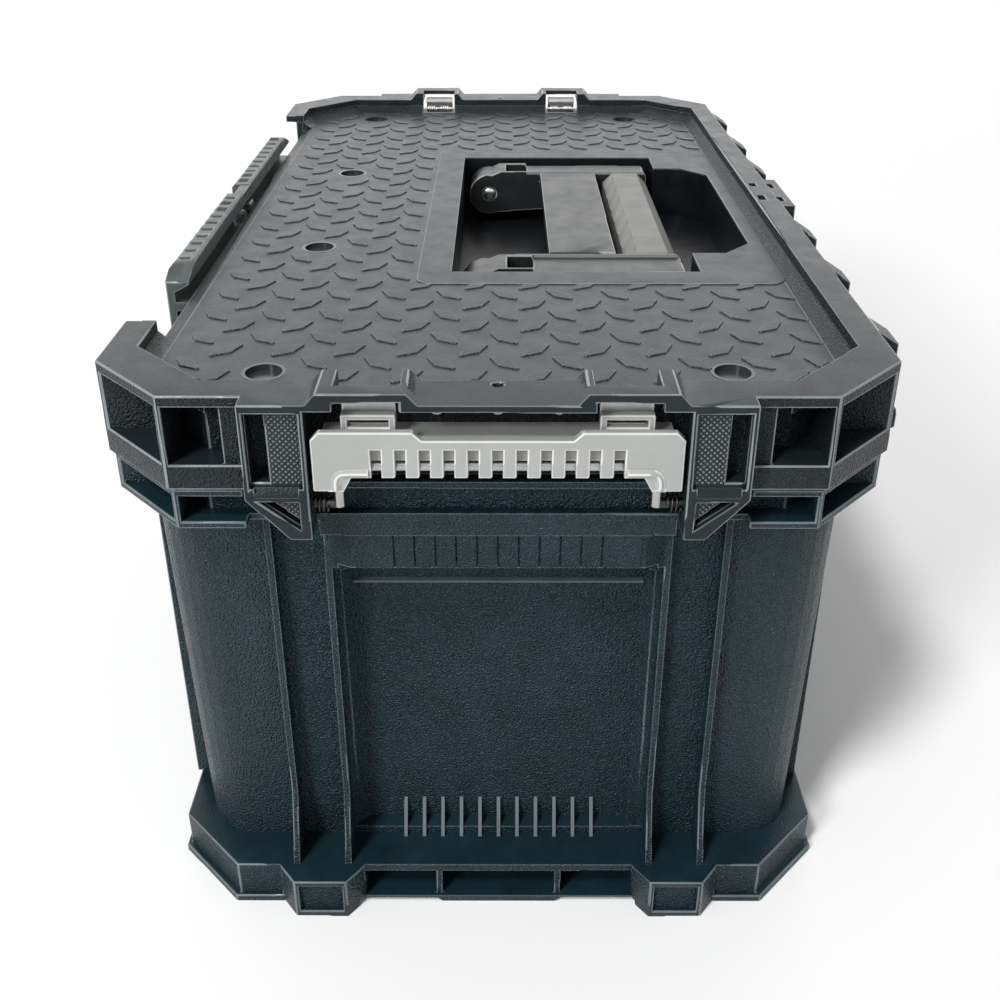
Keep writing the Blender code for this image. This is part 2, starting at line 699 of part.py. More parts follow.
def tray_cutters():
    """The tray over the deck: an upright upper part, then a slope down to the deck."""
    upper = octagon(HALF_L - LIP_END, HALF_W - LIP_SIDE, RIM_CHAMFER)
    lower = octagon(HALF_L - LIP_END - TRAY_SLOPE, HALF_W - LIP_SIDE - TRAY_SLOPE, RIM_CHAMFER)
    step = RIM_TOP - TRAY_STEP
    half = FRONT_OPENING / 2
    return [
        prism(upper, "Z", step, RIM_TOP + REACH),
        loft(lower, upper, "Z", DECK_TOP, step),
        box(-half, half, -HALF_W - REACH, -HALF_W + LIP_SIDE + TRAY_SLOPE + SINK,
            DECK_TOP, RIM_TOP + REACH),
    ]


def well_outline(grow):
    """Plan of the finger pocket behind the grip."""
    wide = FINGER_LENGTH / 2 + grow
    narrow = wide - FINGER_CUT
    front, side, rear = WELL_REAR - SINK, WELL_REAR + FINGER_SIDE, FINGER_REAR + grow
    return [(-wide, front), (wide, front), (wide, side), (narrow, rear), (-narrow, rear), (-wide, side)]


def well_shapes(grow, depth_grow, top):
    """The handle's well and its finger pocket: the space itself, or with grow its outside."""
    half = WELL_LENGTH / 2
    return [
        box(-half - grow, half + grow, WELL_FRONT - grow, WELL_REAR + grow,
            WELL_FLOOR - depth_grow, top),
        prism(well_outline(grow), "Z", DECK_TOP - FINGER_DEPTH - depth_grow, top),
    ]


def screw_places():
    """Deck screws: four corners and two along the front; the finger pocket takes the rear middle."""
    corners = [(sx * SCREW_X_OUTER, sy * SCREW_Y) for sx in SIDES for sy in SIDES]
    return corners + [(sx * SCREW_X_INNER, -SCREW_Y) for sx in SIDES]


def lid_body():
    body = prism(octagon(HALF_L, HALF_W, RIM_CHAMFER), "Z", LID_BOTTOM, RIM_TOP)
    pockets = ring(
        octagon(HALF_L + REACH, HALF_W + REACH, RIM_CHAMFER), octagon(CORE_L, CORE_W, RIM_CHAMFER),
        BAND_TOP, PLATE_BOTTOM)
    cut(pockets, *corner_posts(HALF_L, HALF_W, BAND_TOP - SINK, PLATE_BOTTOM + SINK))
    inner = octagon(HALF_L - LID_INSET_END, HALF_W - LID_INSET_SIDE, RIM_CHAMFER)
    bay = LATCH_BAY / 2
    cuts = [
        pockets,
        prism(inner, "Z", LID_BOTTOM - REACH, RIM_TOP + REACH),
        box(-bay, bay, -HALF_W - REACH, -CORE_W, LID_BOTTOM - REACH, RIM_TOP + REACH),
    ]
    room = HINGE_ARM / 2 + 2 * RUN + HINGE_LUG
    for x in hinge_places():
        cuts.append(box(
            x - room, x + room, HINGE_Y - HINGE_ROOM, HALF_W + REACH,
            LID_BOTTOM - REACH, HINGE_Z + HINGE_ROOM))
    for side in SIDES:
        cuts.append(end_box(
            side, BAY_X, HALF_L + REACH, -COLUMN_IN, COLUMN_IN, LID_BOTTOM - REACH, END_PLATE_BOTTOM))
    return cut(body, *cuts)


def lid_end(side):
    """Columns, stepped rim and raised bumps of one end."""
    shapes = [end_box(side, CORE_L - SINK, END_X, -COLUMN_OUT, COLUMN_OUT, END_PLATE_BOTTOM, RIM_TOP)]
    for sy in SIDES:
        inner, outer = sy * COLUMN_IN, sy * COLUMN_OUT
        hanging = [
            (inner, RIM_TOP - SINK), (outer, RIM_TOP - SINK), (outer, LID_BOTTOM),
            (inner + sy * COLUMN_TIP, LID_BOTTOM - COLUMN_DROP), (inner, LID_BOTTOM - COLUMN_DROP),
        ]
        shapes.append(end_prism(side, hanging, "X", END_X - COLUMN_DEPTH, END_X))
        near, far = sorted((inner, sy * SHOULDER_OUT))
        shapes.append(end_box(
            side, CORE_L - SINK, END_X - SHOULDER_BACK, near, far, LID_BOTTOM + SINK, PLATE_BOTTOM + SINK))
        bump = [
            (sy * BUMP_INNER, RIM_TOP - SINK), (sy * (BUMP_INNER + BUMP_SLOPE), RIM_TOP + BUMP_HEIGHT),
            (sy * (BUMP_OUTER - BUMP_SLOPE), RIM_TOP + BUMP_HEIGHT), (sy * BUMP_OUTER, RIM_TOP - SINK),
        ]
        shapes.append(end_prism(side, bump, "X", HALF_L - LIP_END, END_X))
    return shapes


def lid_end_cuts(side):
    """Slots for the lock tabs, recesses of the columns, pivot holes and the small rim hole."""
    cuts = []
    axis = (side * LEVER_X, LEVER_Z)
    for sy in SIDES:
        half = TAB_WIDTH / 2 + TAB_SLOT_SIDE
        near, far = sy * TAB_Y - half, sy * TAB_Y + half
        floor = RIM_TOP - TAB_SLOT_FLOOR
        strip = RIM_TOP + BUMP_HEIGHT - BUMP_THICK
        inside = HALF_L - LIP_END - TRAY_SLOPE
        cuts.append(end_box(side, inside, END_X - BUMP_STRIP, near, far, floor, RIM_TOP + REACH))
        cuts.append(end_box(side, inside, END_X + REACH, near, far, floor, strip))
        recess_in, recess_out = COLUMN_IN + COLUMN_MARGIN, COLUMN_OUT - COLUMN_MARGIN
        near, far = sorted((sy * recess_in, sy * recess_out))
        cuts.append(end_box(
            side, END_X - COLUMN_RECESS, END_X + REACH, near, far,
            LID_BOTTOM + SINK, RIM_TOP - COLUMN_MARGIN))
        tip = [
            (sy * recess_in, LID_BOTTOM - SINK), (sy * (recess_out - SINK), LID_BOTTOM - SINK),
            (sy * recess_in, LID_BOTTOM - COLUMN_DROP + COLUMN_MARGIN),
        ]
        cuts.append(end_prism(side, tip, "X", END_X - COLUMN_RECESS, END_X + REACH))
        stub = sorted((sy * (COLUMN_IN - SINK), sy * (ROD_STUB + FIT)))
        cuts.append(rod("Y", axis, ROD_RADIUS + FIT, *stub, SMALL_ROUND))
    hole = (side * (HALF_L - RIM_HOLE_INSET), 0.0)
    cuts.append(rod("Z", hole, RIM_HOLE_RADIUS, PLATE_BOTTOM - SINK, RIM_TOP + REACH, SMALL_ROUND))
    start, end = side * (CORE_L - RIM_SCREW_DEPTH - FIT), side * (CORE_L + SINK)
    for k in (-1, 0, 1):
        centre = (k * RIM_SCREW_PITCH, RIM_SCREW_Z)
        cuts.append(rod("X", centre, RIM_SCREW_SHANK + FIT, start, end, SMALL_ROUND))
    return cuts


def lid_rear():
    """Hinge arms and the slotted block in the middle of the rear."""
    arm = [
        (CORE_W - SINK, RIM_TOP), (HALF_W, RIM_TOP), (HINGE_Y + HINGE_RADIUS, RIM_TOP - HINGE_RADIUS),
        (HINGE_Y + HINGE_RADIUS, HINGE_Z), (HINGE_Y - HINGE_RADIUS, HINGE_Z),
        (HINGE_Y - HINGE_ROOM, HINGE_Z + HINGE_ROOM), (CORE_W - SINK, HINGE_Z + HINGE_ROOM),
    ]
    shapes = []
    for x in hinge_places():
        start, end = x - HINGE_ARM / 2, x + HINGE_ARM / 2
        shapes.append(prism(arm, "X", start, end))
        shapes.append(rod("X", (HINGE_Y, HINGE_Z), HINGE_RADIUS, start, end, BARREL_ROUND))
    half = REAR_BLOCK_LENGTH / 2
    shapes.append(box(
        -half, half, CORE_W - SINK, HALF_W + REAR_BLOCK_OUT,
        RIM_TOP - REAR_BLOCK_HEIGHT, RIM_TOP - SINK))
    return shapes


def lid_rear_cuts():
    cuts = [rod("X", (HINGE_Y, HINGE_Z), HINGE_PIN_RADIUS + FIT, -HALF_L, HALF_L, SMALL_ROUND)]
    for sx in SIDES:
        x = sx * REAR_BLOCK_LENGTH / 4
        for y in (HALF_W - REAR_SLOT, HALF_W + REAR_BLOCK_OUT - REAR_SLOT_EDGE):
            cuts.append(box(
                x - REAR_SLOT / 2, x + REAR_SLOT / 2, y - REAR_SLOT_WIDTH / 2, y + REAR_SLOT_WIDTH / 2,
                RIM_TOP - REAR_BLOCK_HEIGHT - REACH, RIM_TOP + REACH))
    return cuts


def make_lid_shell():
    """Frame of the lid: rim, band, columns, hinge arms and the catch for the latch."""
    body = lid_body()
    shapes = lid_rear()
    for side in SIDES:
        shapes += lid_end(side)
    catch_top = RIM_TOP - CATCH_DROP
    shapes.append(box(
        -CATCH_LENGTH / 2, CATCH_LENGTH / 2, -CORE_W - CATCH_OUT, -CORE_W + SINK,
        catch_top - CATCH_HEIGHT, catch_top))
    join(body, *shapes)
    cuts = tray_cutters() + lid_rear_cuts()
    for side in SIDES:
        cuts += lid_end_cuts(side)
    groove_l, groove_w = HALF_L - SEAL_INSET_END, HALF_W - SEAL_INSET_SIDE
    wide = SEAL_WIDTH / 2
    cuts.append(ring(
        octagon(groove_l + wide, groove_w + wide, RIM_CHAMFER),
        octagon(groove_l - wide, groove_w - wide, RIM_CHAMFER),
        LID_BOTTOM - REACH, LID_BOTTOM + SEAL_DEPTH))
    return cut(body, *cuts)


def make_lid_deck():
    """Plate inside the frame, with a dimple for each deck screw and an opening for the handle's well."""
    plan = octagon(HALF_L - LID_INSET_END - FIT, HALF_W - LID_INSET_SIDE - FIT, RIM_CHAMFER)
    plate = prism(plan, "Z", DECK_TOP - DECK, DECK_TOP)
    bosses = []
    for x, y in screw_places():
        bosses.append(rod(
            "Z", (x, y), DIMPLE_RADIUS + DIMPLE_WALL, PANEL_Z + PANEL_PLATE + FIT, DECK_TOP - SINK,
            SMALL_ROUND))
    join(plate, *bosses)
    cuts = well_shapes(WELL_WALL + FIT, REACH, DECK_TOP + REACH)
    for x, y in screw_places():
        cuts.append(rod("Z", (x, y), DIMPLE_RADIUS, DIMPLE_FLOOR, DECK_TOP + REACH))
        cuts.append(rod("Z", (x, y), SCREW_RADIUS + FIT, PANEL_Z, DECK_TOP, SMALL_ROUND))
    return cut(plate, *cuts)


def make_handle_well():
    """Open well for the folded handle and the fingers behind its grip, with bosses for the pins."""
    half = WELL_LENGTH / 2
    pin = (HANDLE_Y, HANDLE_Z)
    well, pocket = well_shapes(WELL_WALL, WELL_WALL, DECK_TOP)
    shapes = [pocket]
    for side in SIDES:
        outside = sorted((side * (half + SINK), side * (half + WELL_WALL + PIN_SEAT)))
        shapes.append(rod("X", pin, BOSS_RADIUS, *outside))
    join(well, *shapes)
    cut(well, *well_shapes(0.0, 0.0, DECK_TOP + REACH))
    bosses, holes = [], []
    for side in SIDES:
        inside = sorted((side * (ARM_OUT + RUN), side * (half + SINK)))
        bosses.append(rod("X", pin, BOSS_RADIUS, *inside))
        hole = sorted((side * (ARM_OUT - SINK), side * (half + PIN_SEAT + FIT)))
        holes.append(rod("X", pin, HANDLE_PIN_RADIUS + FIT, *hole))
    join(well, *bosses)
    return cut(well, *holes)


def make_lid_inner_panel(side):
    """Plate that closes the lid's underside: left or right of the handle's well, or in front of it."""
    half_l, half_w = HALF_L - LID_INSET_END - FIT, HALF_W - LID_INSET_SIDE - FIT
    room = WELL_WALL + PIN_SEAT + RUN
    inner = WELL_LENGTH / 2 + room
    if side:
        plan = [
            (inner, -half_w), (half_l - RIM_CHAMFER, -half_w), (half_l, RIM_CHAMFER - half_w),
            (half_l, half_w - RIM_CHAMFER), (half_l - RIM_CHAMFER, half_w), (inner, half_w),
        ]
        plan = [(side * x, y) for x, y in plan]
    else:
        edge, front = inner - FIT, WELL_FRONT - room
        plan = [(-edge, -half_w), (edge, -half_w), (edge, front), (-edge, front)]
    plate = prism(plan, "Z", PANEL_Z, PANEL_Z + PANEL_PLATE)
    holes = []
    for x, y in screw_places():
        holes.append(rod("Z", (x, y), SCREW_RADIUS + FIT, PANEL_Z - REACH, DECK_TOP, SMALL_ROUND))
    return cut(plate, *holes)


def make_lid_seal():
    wide = SEAL_WIDTH / 2 - FIT
    seal_l, seal_w = HALF_L - SEAL_INSET_END, HALF_W - SEAL_INSET_SIDE
    return ring(
        octagon(seal_l + wide, seal_w + wide, RIM_CHAMFER),
        octagon(seal_l - wide, seal_w - wide, RIM_CHAMFER),
        BASE_HEIGHT + BEAD + FIT, LID_BOTTOM + SEAL_DEPTH - FIT)


def make_deck_screw(x, y):
    seat = DIMPLE_FLOOR + FIT
    head = rod("Z", (x, y), SCREW_HEAD_RADIUS, seat, seat + SCREW_HEAD, SMALL_ROUND)
    shank_end = DIMPLE_FLOOR - SCREW_DEPTH
    return join(head, rod("Z", (x, y), SCREW_RADIUS, shank_end, seat + SINK, SMALL_ROUND))


def make_rim_screw(side, y):
    """Round-headed screw in the end wall under the rim's overhang."""
    seat = CORE_L + FIT
    centre = (y, RIM_SCREW_Z)
    head = loft(
        circle(centre, RIM_SCREW_RADIUS, SMALL_ROUND), circle(centre, RIM_SCREW_CROWN, SMALL_ROUND),
        "X", side * seat, side * (seat + RIM_SCREW_HEAD))
    shank = sorted((side * (CORE_L - RIM_SCREW_DEPTH), side * (seat + SINK)))
    return join(head, rod("X", centre, RIM_SCREW_SHANK, *shank, SMALL_ROUND))


def make_hinge_pin(side):
    reach = HINGE_ARM / 2 + RUN + HINGE_LUG
    ends = sorted((side * (HINGE_PLACES[0] - reach), side * (HINGE_PLACES[-1] + reach)))
    return rod("X", (HINGE_Y, HINGE_Z), HINGE_PIN_RADIUS, *ends, SMALL_ROUND)


def make_handle_frame():
    """Two arms with round knuckles, a cross plate and the bar inside the grip."""
    top = DECK_TOP - ARM_TOP_DROP
    tip = HANDLE_Y + ARM_REACH
    bevel = GRIP_BEVEL / 2
    arm = [
        (HANDLE_Y, HANDLE_Z - KNUCKLE_RADIUS + SINK), (tip - bevel, top - ARM_DEPTH),
        (tip, top - ARM_DEPTH + bevel), (tip, top - bevel), (tip - bevel, top),
        (HANDLE_Y + KNUCKLE_RADIUS / 2, top),
        (HANDLE_Y, HANDLE_Z + KNUCKLE_RADIUS - SINK),
    ]
    start = HANDLE_Y + PLATE_START
    frame = box(-ARM_IN - SINK, ARM_IN + SINK, start, start + PLATE_WIDTH, top - PLATE_THICK, top)
    middle_y = HANDLE_Y + GRIP_START + GRIP_WIDTH / 2
    middle_z = top - GRIP_DEPTH / 2
    shapes = [box(
        -ARM_IN - SINK, ARM_IN + SINK, middle_y - CORE_WIDTH / 2, middle_y + CORE_WIDTH / 2,
        middle_z - CORE_DEPTH / 2, middle_z + CORE_DEPTH / 2)]
    pin = (HANDLE_Y, HANDLE_Z)
    holes = []
    for side in SIDES:
        ends = sorted((side * ARM_IN, side * ARM_OUT))
        shapes.append(prism(arm, "X", *ends))
        shapes.append(rod("X", pin, KNUCKLE_RADIUS, *ends))
        hole = sorted((side * (ARM_IN - SINK), side * (ARM_OUT + SINK)))
        holes.append(rod("X", pin, HANDLE_PIN_RADIUS + FIT, *hole))
    join(frame, *shapes)
    return cut(frame, *holes)


def make_handle_grip():
    """Rubber sleeve over the bar, with bevelled edges."""
    top = DECK_TOP - ARM_TOP_DROP
    y0 = HANDLE_Y + GRIP_START
    y1, z0 = y0 + GRIP_WIDTH, top - GRIP_DEPTH
    b = GRIP_BEVEL
    outline = [
        (y0 + b, z0), (y1 - b, z0), (y1, z0 + b), (y1, top - b),
        (y1 - b, top), (y0 + b, top), (y0, top - b), (y0, z0 + b),
    ]
    half = ARM_IN - FIT
    wide, deep = CORE_WIDTH / 2 + FIT, CORE_DEPTH / 2 + FIT
    y, z = (y0 + y1) / 2, (z0 + top) / 2
    sleeve = prism(outline, "X", -half, half)
    return cut(sleeve, box(-ARM_OUT, ARM_OUT, y - wide, y + wide, z - deep, z + deep))


def make_handle_pin(side):
    ends = sorted((side * (ARM_IN - SINK), side * (WELL_LENGTH / 2 + PIN_SEAT)))
    return rod("X", (HANDLE_Y, HANDLE_Z), HANDLE_PIN_RADIUS, *ends)


def make_front_latch():
    face = -HALF_W + LATCH_FACE_INSET
    back = face + LATCH_PLATE
    top = RIM_TOP + LATCH_RISE
    bar = top - LATCH_BAR_HEIGHT
    inner = face + LATCH_BAR_WIDTH
    lip = RIM_TOP - CATCH_DROP + FIT
    edge = LATCH_RISE
    profile = [
        (face, LATCH_Z), (face, top - 2 * edge), (face + 2 * edge, top), (inner - edge, top),
        (inner, top - edge), (inner, bar), (back, bar - LATCH_PLATE), (back, lip + LATCH_LIP),
        (inner, lip + LATCH_LIP), (inner, lip), (back, lip), (back, LATCH_Z),
    ]
    half = LATCH_LENGTH / 2
    latch = prism(profile, "X", -half, half)
    join(latch, rod("X", (LATCH_Y, LATCH_Z), LATCH_KNUCKLE, -half, half, BARREL_ROUND))
    slope = LATCH_END_CUT
    cuts = [
        rod("X", (LATCH_Y, LATCH_Z), LATCH_PIN_RADIUS + FIT, -half - SINK, half + SINK, SMALL_ROUND),
        box(-LATCH_NOTCH / 2, LATCH_NOTCH / 2, face - REACH, inner + REACH, lip - LATCH_LIP, top + REACH),
    ]
    for side in SIDES:
        corner = [
            (half - slope, top + SINK), (half + SINK, top + SINK), (half + SINK, top - LATCH_END_DROP),
        ]
        cuts.append(end_prism(side, corner, "Y", face - REACH, inner + REACH))
        for place in LATCH_LUGS:
            x = side * place
            wide = LATCH_LUG / 2 + RUN
            room = LATCH_KNUCKLE + LATCH_PLATE
            cuts.append(box(
                x - wide, x + wide, face - REACH, LATCH_Y + REACH, LATCH_Z - REACH, LATCH_Z + room))
    return cut(latch, *cuts)


def make_latch_pin():
    half = LATCH_LENGTH / 2
    return rod("X", (LATCH_Y, LATCH_Z), LATCH_PIN_RADIUS, -half, half, SMALL_ROUND)


def make_padlock_eye():
    bottom = RIM_TOP - CATCH_DROP + FIT
    front = -CORE_W - EYE_OUT
    half = EYE_THICK / 2
    eye = box(-half, half, front, -CORE_W - FIT, bottom, bottom + EYE_HEIGHT)
    centre = (front + EYE_HOLE_IN, bottom + EYE_HEIGHT / 2)
    return cut(eye, rod("X", centre, EYE_HOLE, -half - SINK, half + SINK, SMALL_ROUND))


def lever_sleeve(sy):
    """Round bulge of the right lever's face over the rod, from the outermost slot down to the foot."""
    x, high = LEVER_FACE - SLEEVE_SINK, LEVER_Z + ROD_RISE
    start = (TEETH * TOOTH_PITCH + TOOTH_PITCH - TOOTH) / 2 + SINK
    corners = [(x, start, high), (x, ROD_LEG, high), (x, ROD_LEG, LEVER_Z + LEVER_FOOT + SINK)]
    path = bent([(x, sy * y, z) for x, y, z in corners], ROD_BEND, BEND_STEPS)
    return tube(path, SLEEVE_RADIUS, WIRE_RESOLUTION)


def lever_plate():
    """Front plate of the right end's lever, with its ledge, back plate, teeth, sleeves and risers."""
    face, half, corner = LEVER_FACE, LEVER_HALF, LEVER_CORNER
    top, foot, edge = LEVER_Z + LEVER_RISE, LEVER_Z + LEVER_FOOT, LEVER_Z + TOOTH_EDGE
    right = [
        (ELBOW_IN, edge), (ELBOW_IN + corner, foot), (half, foot), (half, top - corner),
        (half - corner, top), (RAISED_IN + LEVER_DIP, top), (RAISED_IN, LEDGE_Z),
    ]
    outline = right + [(-y, z) for y, z in reversed(right)]
    plate = prism(outline, "X", face - LEVER_PLATE, face)
    back = face - LEVER_PLATE - BACK_SET
    teeth_half = TEETH * TOOTH_PITCH / 2
    shapes = [
        box(face - LEVER_LEDGE_DEPTH, face - SINK, corner - half, half - corner,
            LEDGE_Z - LEVER_LEDGE, LEDGE_Z),
        box(back, back + BACK_PLATE, -teeth_half - TOOTH, teeth_half + TOOTH,
            LEVER_Z + BACK_BOTTOM, LEDGE_Z - SINK),
    ]
    for k in range(TEETH):
        y = (k - (TEETH - 1) / 2) * TOOTH_PITCH
        shapes.append(box(
            face - TOOTH_DEPTH, face - SINK, y - TOOTH / 2, y + TOOTH / 2, edge, LEVER_Z + SLOT_TOP))
    for sy in SIDES:
        y, half_tab = sy * TAB_Y, TAB_WIDTH / 2
        outer = face - RISER_SET
        shapes.append(box(
            outer - RISER_THICK, outer, y - half_tab, y + half_tab, LEDGE_Z - SINK, LEVER_Z + RISER_TOP))
        shapes.append(lever_sleeve(sy))
    return join(plate, *shapes)


def make_end_lever():
    """The lever of the right end."""
    face = LEVER_FACE
    lever = lever_plate()
    channel = ROD_RADIUS + FIT
    cuts = [box(
        LEVER_X - channel, LEVER_X + channel, -LEVER_HALF, LEVER_HALF,
        LEVER_Z + ROD_RISE - channel, LEVER_Z + ROD_RISE + channel)]
    gap = TOOTH_PITCH - TOOTH
    slot_back = face - LEVER_PLATE - (BACK_SET - BACK_PLATE) / 2
    for k in range(TEETH + 1):
        y = (k - TEETH / 2) * TOOTH_PITCH
        cuts.append(box(
            slot_back, face + REACH, y - gap / 2, y + gap / 2, LEVER_Z - REACH, LEVER_Z + SLOT_TOP))
    for sy in SIDES:
        y, half = sy * TAB_Y, WINDOW_WIDTH / 2
        cuts.append(box(
            face - RISER_SET - RISER_THICK - SINK, face - RISER_SET + SINK, y - half, y + half,
            LEVER_Z + WINDOW_BOTTOM, LEVER_Z + WINDOW_BOTTOM + WINDOW_HEIGHT))
    return cut(lever, *cuts)


def bent(corners, radius, steps):
    """A polyline with its inner corners rounded to arcs."""
    points = [Vector(corners[0])]
    for before, corner, after in zip(corners, corners[1:], corners[2:]):
        corner = Vector(corner)
        into, out = (Vector(before) - corner).normalized(), (Vector(after) - corner).normalized()
        start, end = corner + into * radius, corner + out * radius
        for k in range(steps + 1):
            t = k / steps
            points.append(start * (1 - t) ** 2 + corner * (2 * t * (1 - t)) + end * t ** 2)
    points.append(Vector(corners[-1]))
    return points


def tube(points, radius, resolution):
    """A closed round tube along points."""
    curve = bpy.data.curves.new("tube", "CURVE")
    curve.dimensions = "3D"
    curve.bevel_depth = radius
    curve.bevel_resolution = resolution
    curve.use_fill_caps = True
    spline = curve.splines.new("POLY")
    spline.points.add(len(points) - 1)
    for target, point in zip(spline.points, points):
        target.co = (*point, 1.0)
    holder = bpy.data.objects.new("tube", curve)
    bpy.context.scene.collection.objects.link(holder)
    evaluated = holder.evaluated_get(bpy.context.evaluated_depsgraph_get())
    bm = bmesh.new()
    bm.from_mesh(bpy.data.meshes.new_from_object(evaluated))
    bpy.data.objects.remove(holder)
    bmesh.ops.remove_doubles(bm, verts=bm.verts, dist=radius / 100)
    return solid("tube", bm)


def make_lever_rod():
    """Bright bent rod of the right lever: grip run, two legs and the pivot stubs."""
    low, high = LEVER_Z, LEVER_Z + ROD_RISE
    right = [(LEVER_X, ROD_LEG, high), (LEVER_X, ROD_LEG, low), (LEVER_X, ROD_STUB, low)]
    left = [(x, -y, z) for x, y, z in reversed(right)]
    return tube(bent(left + right, ROD_BEND, BEND_STEPS), ROD_RADIUS, ROD_RESOLUTION)


def make_lock_tab(sy):
    """Steel tab on the back of the right lever's riser, with a nose that points into the box."""
    back = LEVER_FACE - RISER_SET - RISER_THICK - FIT
    foot = LEDGE_Z + FIT
    half = TAB_WIDTH / 2
    y = sy * TAB_Y
    top = LEVER_Z + TAB_TOP
    profile = [
        (back, foot), (back, top), (back - TAB_THICK - NOSE_OUT, top - NOSE_HEIGHT / 2),
        (back - TAB_THICK - NOSE_OUT, top - NOSE_HEIGHT), (back - TAB_THICK, top - NOSE_HEIGHT),
        (back - TAB_THICK, foot),
    ]
    return prism(profile, "Y", y - half, y + half)


def make_lever_spring(sy):
    """Return spring wound on a pivot stub of the right lever."""
    start = COLUMN_IN - FIT - SPRING_WIRE - SPRING_CURLS * SPRING_PITCH
    points = []
    for k in range(SPRING_CURLS * SPRING_STEPS + 1):
        turn = 2 * math.pi * k / SPRING_STEPS
        y = sy * (start + SPRING_PITCH * k / SPRING_STEPS)
        points.append(Vector((
            LEVER_X + SPRING_RADIUS * math.cos(turn), y, LEVER_Z + SPRING_RADIUS * math.sin(turn))))
    return tube(points, SPRING_WIRE, WIRE_RESOLUTION), points


def least_gap(points, diameter, skip):
    """Smallest clear distance between a coil's turns, measured on its points."""
    gaps = [
        (a - b).length - diameter
        for i, a in enumerate(points) for b in points[i + skip:]
    ]
    return min(gaps)


def turned(piece, side):
    """Leaves a piece at the right end, or turns it half round to the left end."""
    if side < 0:
        piece.data.transform(Matrix.Rotation(math.pi, 4, "Z"))
    return piece


def build():
    for old in list(bpy.data.objects):
        bpy.data.objects.remove(old)
    black = material("black_plastic", (0.020, 0.025, 0.026), 0.45)
    deck_black = material("deck_plastic", (0.030, 0.033, 0.034), 0.5)
    grey = material("grey_plastic", (0.47, 0.46, 0.42), 0.45)
    rubber = material("grip_rubber", (0.20, 0.185, 0.165), 0.7)
    seal_rubber = material("seal_rubber", (0.012, 0.012, 0.012), 0.8)
    steel = material("bright_steel", (0.75, 0.75, 0.74), 0.22, 1.0)
    dark_steel = material("dark_steel", (0.06, 0.06, 0.06), 0.4, 1.0)

    root = bpy.data.objects.new("tool_box", None)
    root.location = (0.0, MIDDLE_Y, 0.0)
    bpy.context.scene.collection.objects.link(root)
    lid = axis_empty("lid_axis", root, (0.0, HINGE_Y, HINGE_Z))
    handle = axis_empty("handle_axis", root, (0.0, HANDLE_Y, HANDLE_Z))
    latch = axis_empty("latch_axis", root, (0.0, LATCH_Y, LATCH_Z))

    place(make_base_tub(), "base_tub", black, root)
    place(make_latch_pin(), "latch_pin", steel, root)
    place(make_lid_shell(), "lid_shell", deck_black, lid)
    place(make_lid_deck(), "lid_deck", deck_black, lid)
    place(make_handle_well(), "handle_well", deck_black, lid)
    for name, side in ENDS + (("front", 0),):
        place(make_lid_inner_panel(side), f"lid_inner_panel_{name}", black, lid)
    place(make_lid_seal(), "lid_seal", seal_rubber, lid)
    place(make_padlock_eye(), "padlock_eye", black, lid)
    for number, (x, y) in enumerate(screw_places(), 1):
        place(make_deck_screw(x, y), f"deck_screw_{number}", dark_steel, lid)
    place(make_handle_frame(), "handle_frame", black, handle)
    place(make_handle_grip(), "handle_grip", rubber, handle)
    place(make_front_latch(), "front_latch", black, latch)
    for name, side in ENDS:
        place(make_hinge_pin(side), f"hinge_pin_{name}", steel, root)
        place(make_handle_pin(side), f"handle_pin_{name}", steel, lid)
        axis = axis_empty(f"lever_axis_{name}", root, (side * LEVER_X, 0.0, LEVER_Z))
        place(turned(make_end_lever(), side), f"end_lever_{name}", grey, axis)
        place(turned(make_lever_rod(), side), f"lever_rod_{name}", steel, axis)
        for k in (-1, 0, 1):
            screw = make_rim_screw(side, k * RIM_SCREW_PITCH)
            place(screw, f"rim_screw_{name}_{k + 2}", steel, lid)
        for corner, sy in (("front", -1), ("rear", 1)):
            # A turn to the left end also swaps front and rear.
            place(turned(make_lock_tab(sy * side), side), f"lock_tab_{name}_{corner}", steel, axis)
            spring, path = make_lever_spring(sy * side)
            place(turned(spring, side), f"lever_spring_{name}_{corner}", dark_steel, lid)
    gap = least_gap(path, 2 * SPRING_WIRE, SPRING_STEPS // 2)
    print(f"lever springs: least gap between turns {gap * 1000:.2f} mm")


build()
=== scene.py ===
"""Looks of the tool box: rounded edges, tread, knurls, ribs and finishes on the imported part.

Metres, +Z up. The levers are at the ends (-X, +X), the latch at the front (-Y), the hinge at the rear (+Y).
New shapes are drawn about the middle of the deck, MIDDLE_Y from the part's own origin, and then shifted.
What is alike on both sides is drawn once and mirrored by the signs in SIDES or QUARTERS.
"""

import json
import math

import bmesh
import bpy
from mathutils import Matrix, Vector
from mathutils.bvhtree import BVHTree
from mathutils.kdtree import KDTree


